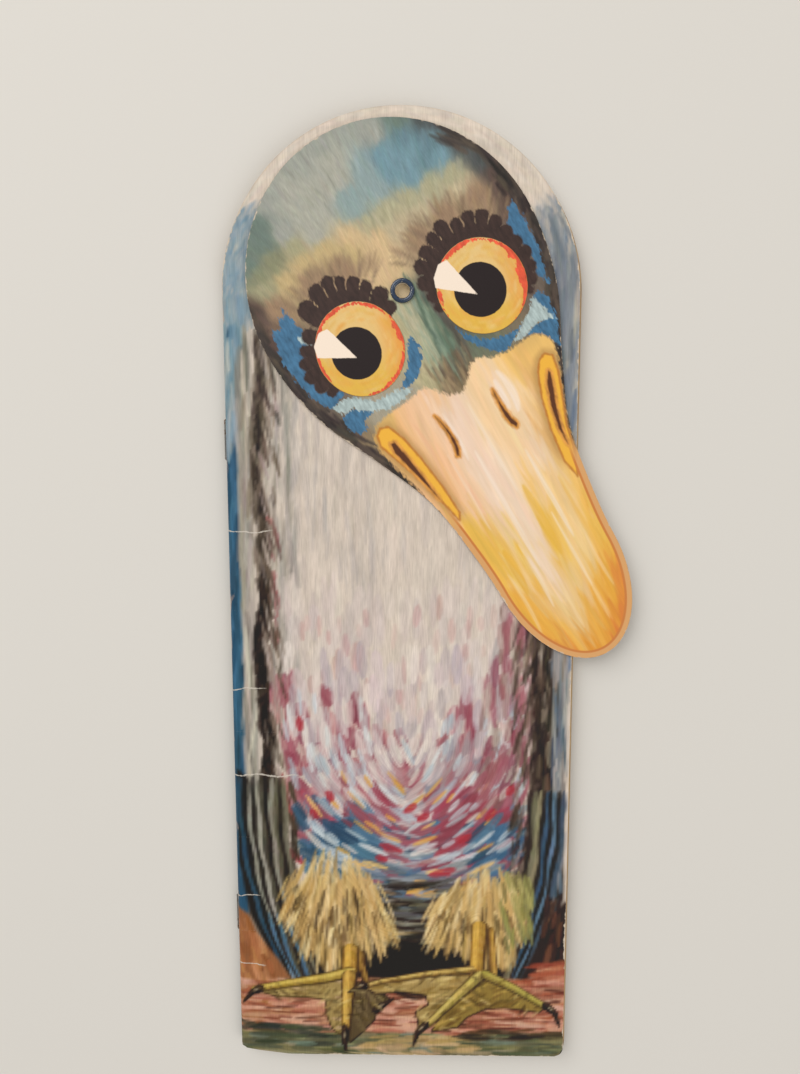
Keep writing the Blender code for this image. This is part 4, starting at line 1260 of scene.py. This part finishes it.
def head_half_width(v):
    """Half the head's width at v: an ellipse's above and below, Hermite cubics between the cheek points."""
    crown = CROWN_OVAL[2] * np.sqrt(np.clip(1 - ((v - CROWN_OVAL[1]) / CROWN_OVAL[3]) ** 2, 0, 1))
    tip = TIP_OVAL[2] * np.sqrt(np.clip(1 - ((v - TIP_OVAL[1]) / TIP_OVAL[3]) ** 2, 0, 1))
    at, half = np.array(CHEEKS).T
    slopes = cheek_slopes()
    i = np.clip(np.searchsorted(at, v) - 1, 0, len(at) - 2)
    span = at[i + 1] - at[i]
    t = np.clip((v - at[i]) / span, 0, 1)
    cheek = ((2 * t**3 - 3 * t**2 + 1) * half[i] + (t**3 - 2 * t**2 + t) * span * slopes[i]
             + (3 * t**2 - 2 * t**3) * half[i + 1] + (t**3 - t**2) * span * slopes[i + 1])
    return np.where(v < at[0], crown, np.where(v > at[-1], tip, cheek))


def head_edge_distance(u, v):
    """Depth inside the head's outline: the ovals' own depth, else width to spare over the side's slope."""
    half = head_half_width(v)
    slope = (head_half_width(v + 0.1) - head_half_width(v - 0.1)) / 0.2
    cheek = (half - abs(u)) / np.hypot(1, slope)
    return np.where(v < CROWN_OVAL[1], ellipse_distance(CROWN_OVAL, u, v),
                    np.where(v > TIP_OVAL[1], ellipse_distance(TIP_OVAL, u, v), cheek))


print("head card:", 2 * CROWN_OVAL[2], "mm wide,", round(math.degrees(HEAD_TILT)), "degrees aslant")

# %% [markdown]
# The card itself is made like the covers, from a fine printed grid and a coarse one behind it. Rows crowd
# together at both ends, where the outline turns fastest, and the grid opens round the eyelet.


# %% Make the head card
tip_rows = TIP_OVAL[1] + TIP_OVAL[3] * np.sin(np.linspace(STEEP, 0, 61)[:-1])
cheek_rows = np.linspace(TIP_OVAL[1], CROWN_OVAL[1], 229)[:-1]
crown_rows = CROWN_OVAL[1] - CROWN_OVAL[3] * np.sin(np.linspace(0, STEEP, 115))
HEAD_ROWS = np.concatenate([tip_rows, cheek_rows, crown_rows])
HEAD_COLUMNS = 180
u = head_half_width(HEAD_ROWS)[:, None] * np.linspace(-1, 1, HEAD_COLUMNS + 1)[None, :]
v = HEAD_ROWS[:, None] * np.ones_like(u)
row = int(np.argmin(abs(HEAD_ROWS)))
block = block_near(row, COARSE, HOLE_CELLS), block_near(HEAD_COLUMNS // 2, COARSE, HOLE_CELLS)
u, v = round_hole(u, v, *block, (0, 0), HOLE_RADIUS)
cos_tilt, sin_tilt = math.cos(HEAD_TILT), math.sin(HEAD_TILT)
outer = np.stack([PIVOT_X + u * cos_tilt + v * sin_tilt, PIVOT_Y + u * sin_tilt - v * cos_tilt,
                  np.full_like(u, HEAD_HIGH[2])], axis=-1)
inner = outer[::COARSE, ::COARSE] - [0, 0, HEAD_HIGH[2] - HEAD_LOW[2]]
head_layers = head_masks(u, v)
head_layers["paint"] = with_alpha(FEATHER_PICTURE.at(u, v))
head_layers["bright"] = with_alpha(BRIGHT_PICTURE.at(u, v))
head_layers["edge"] = head_edge_distance(u, v)
head_layers["place"] = np.stack([u, v, np.zeros_like(u)], axis=-1)
head_card = closed_card("head_card_print", outer, inner, COARSE, block, layers=head_layers)
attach(head_card, "head")
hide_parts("head_card")
print("head card:", len(HEAD_ROWS), "rows,", len(head_layers), "layers of print")

# %% [markdown]
# The eyelet is a short tube of enamelled steel. A press rolls its top over into a round bead and curls its
# foot outwards under the cover. It is the same all round, so one closed outline of radius and height,
# turned once round the axis, makes it.


# %% Turn the eyelet
def arc_points(centre, radii, start, end, count):
    """Points on an ellipse's arc, as columns of radius and height, from angle start to end in degrees."""
    angle = np.radians(np.linspace(start, end, count))
    return np.stack([centre[0] + radii[0] * np.cos(angle), centre[1] + radii[1] * np.sin(angle)], axis=1)


def turned(name, outline, axis, segments=120):
    """The closed outline (radius, height) carried round an upright axis: (x + r cos a, y + r sin a, z)."""
    angle = np.linspace(0, 2 * math.pi, segments, endpoint=False)
    count = len(outline)
    r, z = outline[:, 0][None, :], outline[:, 1][None, :]
    grid = np.stack([axis[0] + r * np.cos(angle)[:, None], axis[1] + r * np.sin(angle)[:, None],
                     z + 0 * angle[:, None]], axis=-1)
    a, b = np.meshgrid(np.arange(segments), np.arange(count), indexing="ij")
    after_a, after_b = (a + 1) % segments, (b + 1) % count
    faces = np.stack([a * count + b, a * count + after_b, after_a * count + after_b, after_a * count + b],
                     axis=-1)
    mesh = bpy.data.meshes.new(name)
    mesh.from_pydata(grid.reshape(-1, 3) * MM, [], faces.reshape(-1, 4)[:, ::-1].tolist())
    finish_mesh(mesh)
    return in_scene(name, mesh)


BARREL, WALL = 2.45, 0.3
BEAD_LOW = HEAD_HIGH[2] + 0.04
BEAD_MIDDLE = (EYELET_HIGH[0] - EYELET_LOW[0]) / 4 + (BARREL - WALL) / 2
BEAD_WIDE = (EYELET_HIGH[0] - EYELET_LOW[0]) / 2 - BEAD_MIDDLE
BEAD_HIGH = EYELET_HIGH[2] - BEAD_LOW - 0.25
CURL = 0.85
outline = np.concatenate([
    arc_points((BEAD_MIDDLE, BEAD_LOW + 0.25), (BEAD_WIDE, BEAD_HIGH), 180, 0, 25),
    arc_points((BEAD_MIDDLE + BEAD_WIDE - 0.25, BEAD_LOW + 0.25), (0.25, 0.25), -10, -90, 6),
    [(BARREL + 0.12, BEAD_LOW), (BARREL, BEAD_LOW - 0.12)],
    arc_points((BARREL + 0.3, FRONT_LOW[2] - 0.35), (0.3, 0.25), 180, 90, 6),
    [(BARREL + CURL - 0.05, FRONT_LOW[2] - 0.16)],
    arc_points((BARREL + CURL - 0.1, FRONT_LOW[2] - 0.26), (0.1, 0.1), 60, -90, 6),
    arc_points((BARREL + 0.25, EYELET_LOW[2] + 0.35), (0.4, 0.3), 270, 180, 6)[:3],
    [(BARREL - WALL, EYELET_LOW[2] + 0.55)],
])
eyelet = turned("eyelet_ring", outline, (PIVOT_X, PIVOT_Y))
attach(eyelet, "front_cover")
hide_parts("eyelet")
print("eyelet outline", len(outline), "points, bead", round(2 * (BEAD_MIDDLE + BEAD_WIDE), 2), "mm across")

# %% [markdown]
# Now the finishes. One small function adds a node with its settings and links. A layer of print is a chain
# of four: the stored depth, a little noise so that the brush's edge is ragged, a steep ramp at zero depth,
# and a mix of what lies under and over.


# %% Node helpers
def new_material(name):
    """An empty node tree with a Principled shader and its output."""
    material = bpy.data.materials.new(name)
    material.use_nodes = True
    tree = material.node_tree
    shader = tree.nodes["Principled BSDF"]
    return material, tree, shader


def colour(code):
    """An sRGB hex colour as linear RGBA."""
    return tuple(float(value) for value in with_alpha(shade(code)))


def join(tree, source, made, socket):
    """Links a source to a node's socket. A source is a node, for its first output, or (node, output), or a
    hex colour, or a point attribute's name: alone for its number, or (name, "Vector") or (name, "Color")."""
    node, output = source if isinstance(source, tuple) else (source, 0)
    if isinstance(node, str) and node.startswith("#"):
        code = node
        node = tree.nodes.new("ShaderNodeRGB")
        node.outputs[0].default_value = colour(code)
    elif isinstance(node, str):
        name = node
        node = tree.nodes.new("ShaderNodeAttribute")
        node.attribute_name = name
        output = output or "Fac"
    tree.links.new(node.outputs[output], made.inputs[socket])


def add(tree, kind, settings=None, links=None):
    """Adds a node. settings sets sockets by name or number, and properties by name; links gives sockets a
    source each, as join takes it."""
    made = tree.nodes.new("ShaderNode" + kind)
    sockets = {socket.name for socket in made.inputs}
    own = {k: v for k, v in (settings or {}).items() if isinstance(k, str) and k not in sockets}
    for key, value in own.items():
        setattr(made, key, value)
    for key, value in (settings or {}).items():
        if key not in own:
            made.inputs[key].default_value = value
    for key, source in (links or {}).items():
        join(tree, source, made, key)
    return made


def laid_over(tree, under, over, cover):
    """The ink over, printed on under where cover is 1."""
    return add(tree, "Mix", {"data_type": "RGBA"}, {0: cover, 6: under, 7: over}), 2


def print_layer(tree, under, over, depth, ragged, sharp=0.12, inset=0.0, strength=None):
    """over printed on under where depth + ragged noise is above inset, with an edge sharp mm wide."""
    reached = add(tree, "Math", {"operation": "ADD"}, {0: depth, 1: ragged})
    cover = add(tree, "MapRange", {"From Min": inset - sharp, "From Max": inset + sharp}, {"Value": reached})
    if strength is not None:
        cover = add(tree, "Math", {"operation": "MULTIPLY", 1: strength}, {0: cover})
    return laid_over(tree, under, over, cover)


def centred_noise(tree, vector, scale, size, detail=2.0):
    """Noise from -size to size, stretched by scale (per mm) along each axis of vector."""
    stretched = add(tree, "VectorMath", {"operation": "MULTIPLY", 1: scale}, {0: vector})
    noise = add(tree, "TexNoise", {"Scale": 1.0, "Detail": detail}, {"Vector": stretched})
    return add(tree, "MapRange", {"From Min": 0.3, "From Max": 0.7, "To Min": -size, "To Max": size,
                                  "clamp": False}, {"Value": noise})


def millimetres(tree):
    """Object coordinates in millimetres."""
    place = add(tree, "TexCoord")
    return add(tree, "VectorMath", {"operation": "SCALE", "Scale": 1000.0}, {0: (place, "Object")})


def varied(tree, base, noise):
    """A colour multiplied by 1 + noise."""
    gain = add(tree, "Math", {"operation": "ADD", 1: 1.0}, {0: noise})
    return add(tree, "VectorMath", {"operation": "SCALE"}, {0: base, "Scale": gain})


# %% [markdown]
# The covers are coated card, printed by offset and varnished thin: a satin face, so the highlights are wide
# and soft. The print keeps the bristle streaks of the gouache. Handling has taken it off in specks along
# the cut edges and the fold, and cracked it across the fold, where the pale fibres of the card show.

# %% Printed card
CARD_FIBRE = "#cdbca6"
CUT_EDGE = "#8f7c68"  # the cut faces are darker and greyer than the bare card
VARNISH_IOR = 1.48  # oil and resin
VARNISH_SPECULAR = 0.3  # 0.5 would be a full clear film


def paper_grain(tree, shader, place, size, height):
    """Bump of height mm from fibres about size mm wide."""
    fine = add(tree, "TexNoise", {"Scale": 1.0 / size, "Detail": 4.0}, {"Vector": place})
    bump = add(tree, "Bump", {"Strength": 1.0, "Distance": height * MM}, {"Height": fine})
    join(tree, bump, shader, "Normal")
    return fine


def varnish(tree, shader, place, smooth, rough):
    """The varnish over a print: satin, glossier in the paper's hollows, and weak, as it has sunk in."""
    fine = paper_grain(tree, shader, place, 0.35, 0.012)
    gloss = add(tree, "MapRange", {"From Min": 0.3, "From Max": 0.7, "To Min": smooth, "To Max": rough},
                {"Value": fine})
    join(tree, gloss, shader, "Roughness")
    shader.inputs["IOR"].default_value = VARNISH_IOR
    shader.inputs["Specular IOR Level"].default_value = VARNISH_SPECULAR


def worn_print(tree, painted, place, depth_of_wear):
    """Print with bare fibre along the cut edge, and bare card on the cut face and the unprinted side."""
    blotch = centred_noise(tree, place, (0.5, 0.5, 0.5), 0.4, 5.0)
    long_wear = centred_noise(tree, place, (0.06, 0.06, 0.06), 0.35)
    edge = "edge"
    lost = add(tree, "Math", {"operation": "MULTIPLY", 1: -1.0}, {0: edge})
    lost = add(tree, "Math", {"operation": "ADD"}, {0: lost, 1: long_wear})
    worn = print_layer(tree, painted, CARD_FIBRE, lost, blotch, 0.2, inset=-depth_of_wear)
    printed = add(tree, "MapRange", {"From Min": 0.94, "From Max": 0.97}, {"Value": "printed"})
    inside = add(tree, "MapRange", {"From Min": 0.02, "From Max": 0.0}, {"Value": "printed"})
    bare = laid_over(tree, CUT_EDGE, CARD_FIBRE, inside)
    return laid_over(tree, bare, worn, printed)


def cover_material(name, streak):
    """Satin print on card with bristle streaks, specks, cracks from the fold and worn edges."""
    material, tree, shader = new_material(name)
    place = millimetres(tree)
    stroke = ("flow", "Vector")
    bristles = centred_noise(tree, stroke, (2.6, 0.22, 1.0), streak, 3.0)
    dabs = centred_noise(tree, stroke, (0.55, 0.13, 1.0), streak * 0.8)
    both = add(tree, "Math", {"operation": "ADD"}, {0: bristles, 1: dabs})
    painted = varied(tree, ("paint", "Color"), both)
    ragged = centred_noise(tree, place, (1.6, 1.6, 1.6), 0.12, 3.0)
    wander = centred_noise(tree, place, (0.12, 0.12, 0.12), 0.7)
    bent_line = add(tree, "Math", {"operation": "ADD"}, {0: "crack", 1: wander})
    distance = add(tree, "Math", {"operation": "ABSOLUTE"}, {0: bent_line})
    broken = add(tree, "Math", {"operation": "ADD"}, {0: distance, 1: ragged})
    on_line = add(tree, "MapRange", {"From Min": 0.26, "From Max": 0.06}, {"Value": broken})
    on_card = add(tree, "MapRange", {"From Min": 0.0, "From Max": 2.0}, {"Value": "crack_end"})
    line = add(tree, "Math", {"operation": "MULTIPLY"}, {0: on_line, 1: on_card})
    faint = add(tree, "Math", {"operation": "MULTIPLY", 1: 0.8}, {0: line})
    cracked = laid_over(tree, painted, "#cfc6ba", faint)
    fold_wear = add(tree, "Math", {"operation": "MULTIPLY_ADD", 1: -0.5, 2: 0.75}, {0: "fold"})
    patches = centred_noise(tree, place, (0.22, 0.10, 0.22), 1.3, 5.0)
    rubbed = print_layer(tree, cracked, "#b79f8c", fold_wear, patches, 0.25, inset=1.0, strength=0.75)
    specks = add(tree, "TexNoise", {"Scale": 0.8, "Detail": 6.0, "Roughness": 0.75}, {"Vector": place})
    scuffs = add(tree, "MapRange", {"From Min": 0.69, "From Max": 0.73}, {"Value": specks})
    half = add(tree, "Math", {"operation": "MULTIPLY", 1: 0.5}, {0: scuffs})
    specked = laid_over(tree, rubbed, "#c9bba9", half)
    join(tree, worn_print(tree, specked, place, 0.02), shader, "Base Color")
    varnish(tree, shader, place, 0.46, 0.60)
    return material


front_cover.data.materials.append(cover_material("varnished_print_on_card", 0.10))
back_cover.data.materials.append(cover_material("plain_wash_on_card", 0.05))

# %% [markdown]
# The head card has the same finish, and its crisp shapes are laid over the feathers one after another, as
# the printing plates would be: blue, pale, lashes, bill, mouth lines, eyes, orange rings, pupils and the
# wedges of light. The raggedness follows the brush, long down the card and short across it.

# %% The head's print
LAYERS = (  # layer, its colour or picture, how ragged, edge in mm, how far inside its depth it starts
    ("blue", "#47708f", 1.3, 0.25, 0.0),
    ("pale", "#a9b8b6", 1.4, 0.3, 0.0),
    ("lash", "#41332f", 0.6, 0.3, 0.1),
    ("bill", "bright", 1.1, 0.45, 0.0),
    ("slit", "#cf9048", 0.4, 0.4, -0.75),
    ("slit", "#5c3826", 0.2, 0.25, 0.0),
    ("eye", "#4c3630", 0.2, 0.16, -0.12),
    ("eye", "bright", 0.1, 0.12, 0.0),
    ("ring", "#dd5b40", 0.9, 0.14, -0.38),
    ("pupil", "#2c2424", 0.12, 0.12, 0.0),
    ("wedge", "#f4e2cf", 0.15, 0.12, 0.0),
)


def head_material():
    """The layers of the head's print, from the feathers to the light in the eyes, then the wear."""
    material, tree, shader = new_material("varnished_print_on_head_card")
    place = millimetres(tree)
    brush = ("place", "Vector")
    strands = centred_noise(tree, brush, (2.8, 0.4, 1.0), 0.09, 3.0)
    face = varied(tree, ("paint", "Color"), strands)
    streaks = centred_noise(tree, brush, (1.5, 0.07, 1.0), 0.03, 3.0)
    bright = varied(tree, ("bright", "Color"), streaks)
    rough_edge = centred_noise(tree, brush, (1.3, 0.5, 1.0), 0.8, 3.0)
    dabs = centred_noise(tree, brush, (0.9, 0.3, 1.0), 0.3, 4.0)
    for name, over, ragged, sharp, inset in LAYERS:
        wobble = add(tree, "Math", {"operation": "MULTIPLY", 1: ragged * 0.6}, {0: rough_edge})
        source = bright if over == "bright" else over
        if over != "bright" and ragged > 0.3:
            source = varied(tree, source, dabs)
        face = print_layer(tree, face, source, name, wobble, sharp, inset)
        if name == "bill":
            face = mouth_lines(tree, face, rough_edge)
    join(tree, worn_print(tree, face, place, -0.12), shader, "Base Color")
    varnish(tree, shader, place, 0.42, 0.56)
    return material


def mouth_lines(tree, face, rough_edge):
    """An amber loop at each corner of the mouth with a brown outline, and a brown line that runs inside the
    edge of the bill round its tip."""
    wobble = add(tree, "Math", {"operation": "MULTIPLY", 1: 0.2}, {0: rough_edge})
    face = print_layer(tree, face, "#ecb244", "loop", wobble, 0.3)
    outline = add(tree, "Math", {"operation": "ABSOLUTE"}, {0: "loop"})
    thin = add(tree, "Math", {"operation": "SUBTRACT", 0: 0.32}, {1: outline})
    face = print_layer(tree, face, "#b06a30", thin, wobble, 0.25, strength=0.75)
    split = add(tree, "SeparateXYZ", links={0: ("place", "Vector")})
    below = add(tree, "MapRange", {"From Min": 60.0, "From Max": 68.0}, {"Value": (split, "Y")})
    near_edge = add(tree, "MapRange", {"From Min": 2.1, "From Max": 1.6}, {"Value": "edge"})
    band = add(tree, "Math", {"operation": "MULTIPLY"}, {0: below, 1: near_edge})
    face = laid_over(tree, face, "#d5a068", band)
    beyond = add(tree, "Math", {"operation": "SUBTRACT", 1: 1.9}, {0: "edge"})
    from_line = add(tree, "Math", {"operation": "ABSOLUTE"}, {0: beyond})
    on_line = add(tree, "MapRange", {"From Min": 0.5, "From Max": 0.2}, {"Value": from_line})
    line = add(tree, "Math", {"operation": "MULTIPLY"}, {0: below, 1: on_line})
    return laid_over(tree, face, "#c77d42", line)


head_card.data.materials.append(head_material())

# %% [markdown]
# The leaves are uncoated wove paper, rough and long browned by light, most of all along the edges that the
# air reaches. A rough face scatters light evenly, so it shows no highlight, only the fibre's soft relief.


# %% Aged paper
def paper_material():
    """Uncoated paper: cloudy fibre, browner within a few millimetres of its edge."""
    material, tree, shader = new_material("aged_wove_paper")
    place = millimetres(tree)
    cloud = centred_noise(tree, place, (0.05, 0.05, 0.05), 0.05, 3.0)
    fibre = centred_noise(tree, place, (1.3, 1.3, 1.3), 0.035, 4.0)
    both = add(tree, "Math", {"operation": "ADD"}, {0: cloud, 1: fibre})
    uneven = centred_noise(tree, place, (0.2, 0.2, 0.2), 1.2, 3.0)
    from_edge = add(tree, "Math", {"operation": "ADD"}, {0: "edge", 1: uneven})
    browned = add(tree, "MapRange", {"From Min": 3.5, "From Max": 0.0}, {"Value": from_edge})
    brown = laid_over(tree, "#d9c6a4", "#bfa077", browned)
    finish = varied(tree, brown, both)
    join(tree, finish, shader, "Base Color")
    paper_grain(tree, shader, place, 0.3, 0.02)
    shader.inputs["Roughness"].default_value = 0.88
    shader.inputs["IOR"].default_value = 1.45
    return material


print("aged paper for", len(leaves), "leaves")

# %% [markdown]
# The eyelet is steel with a stoved enamel, dark blue and glossy, so it carries one sharp highlight round the
# bead. The staples are drawn tinned wire: smooth metal that has dulled, with brown where damp reached it.


# %% Enamel and wire
def enamel_material():
    """Blue-black enamel, rubbed to bare metal in specks. Below the bead the barrel's inside is near white, a
    painted light that brightens the hole that the narrow barrel leaves in shade.
    """
    material, tree, shader = new_material("blue_black_enamel_on_steel")
    place = millimetres(tree)
    cloud = centred_noise(tree, place, (0.9, 0.9, 0.9), 0.2, 3.0)
    enamel = varied(tree, "#26364c", cloud)
    chips = add(tree, "TexNoise", {"Scale": 1.4, "Detail": 5.0, "Roughness": 0.7}, {"Vector": place})
    height = add(tree, "SeparateXYZ", links={0: place})
    # painted light: below the bead the barrel's inside is near white, so the shaded hole reads bright
    inside = add(tree, "MapRange", {"From Min": BEAD_LOW + 0.15, "From Max": BEAD_LOW + 0.05},
                 {"Value": (height, "Z")})
    chipped = add(tree, "MapRange", {"From Min": 0.62, "From Max": 0.66}, {"Value": chips})
    bare = add(tree, "Math", {"operation": "MAXIMUM"}, {0: chipped, 1: inside})
    finish = laid_over(tree, enamel, "#efe8da", bare)
    join(tree, finish, shader, "Base Color")
    join(tree, chipped, shader, "Metallic")
    shader.inputs["Roughness"].default_value = 0.3
    shader.inputs["Coat Weight"].default_value = 0.4
    shader.inputs["Coat Roughness"].default_value = 0.15
    return material


def wire_material():
    """Tinned steel wire, drawn smooth and dulled, with brown where damp has reached it."""
    material, tree, shader = new_material("dulled_tinned_steel_wire")
    place = millimetres(tree)
    rust = add(tree, "TexNoise", {"Scale": 0.7, "Detail": 5.0}, {"Vector": place})
    stain = add(tree, "MapRange", {"From Min": 0.52, "From Max": 0.64}, {"Value": rust})
    finish = laid_over(tree, "#9c9a95", "#7a5a3e", stain)
    join(tree, finish, shader, "Base Color")
    dull = add(tree, "MapRange", {"From Min": 0.4, "From Max": 0.65, "To Min": 0.32, "To Max": 0.6},
               {"Value": rust})
    join(tree, dull, shader, "Roughness")
    shader.inputs["Metallic"].default_value = 1.0
    return material


paper = paper_material()
for piece in leaves:
    piece.data.materials.append(paper)
eyelet.data.materials.append(enamel_material())
wire = wire_material()
for name in ("staple_upper", "staple_lower"):
    for material_slot in frame["nodes"][name].material_slots:
        material_slot.link = "OBJECT"
        material_slot.material = wire
print("materials:", len(bpy.data.materials))

# %% [markdown]
# The book lies on a plain pale table under a wide soft light, with a weaker one from the other side. The
# camera hangs over it on its stand.

# %% Table, lights and camera
floor_mesh = bpy.data.meshes.new("table_top")
SPAN = 1.5  # metres from the middle of the table to each side
DROP = 2e-5  # metres below the book, so that the two faces don't share a plane
corners = ((-SPAN, -SPAN), (SPAN, -SPAN), (SPAN, SPAN), (-SPAN, SPAN))
floor_mesh.from_pydata([(x, y, -DROP) for x, y in corners], [], [(0, 1, 2, 3)])
floor = in_scene("table_top", floor_mesh)
floor_material, _, floor_shader = new_material("pale_matt_board")
floor_shader.inputs["Base Color"].default_value = colour("#d8d4cd")
floor_shader.inputs["Roughness"].default_value = 0.9
floor_mesh.materials.append(floor_material)


def soft_light(name, place, size, power):
    """A square area light of size metres that faces the middle of the book."""
    data = bpy.data.lights.new(name, "AREA")
    data.size = size
    data.energy = power
    lamp = in_scene(name, data)
    lamp.location = place
    lamp.rotation_euler = (-Vector(place)).to_track_quat("-Z", "Y").to_euler()


soft_light("window_light", (-0.7, 0.9, 1.1), 1.2, 16.0)
soft_light("fill_light", (0.9, -0.5, 1.2), 1.4, 7.0)
world = bpy.data.worlds.new("soft_room")
bpy.context.scene.world = world
world.use_nodes = True
room = world.node_tree.nodes["Background"]
room.inputs["Color"].default_value = colour("#f4f1ec")
room.inputs["Strength"].default_value = 0.55

# Standard shows each ink as it was mixed. The default film look pales strong inks and lifts the darks.
bpy.context.scene.view_settings.view_transform = "Standard"

CAMERA_PLACE = (3.82, 50.5, 242.9)  # mm
CAMERA_TURN = (-0.115026, 0.016009, -0.001835)  # radians from looking straight down
camera_data = bpy.data.cameras.new("camera")
camera_data.lens = 26.82
camera_data.sensor_width = 36.0
camera_data.clip_start = 0.01
camera = in_scene("camera", camera_data)
camera.location = Vector(CAMERA_PLACE) * MM
camera.rotation_euler = Euler(CAMERA_TURN)
bpy.context.scene.camera = camera
print("camera", round(camera.location.z / MM), "mm above the table")
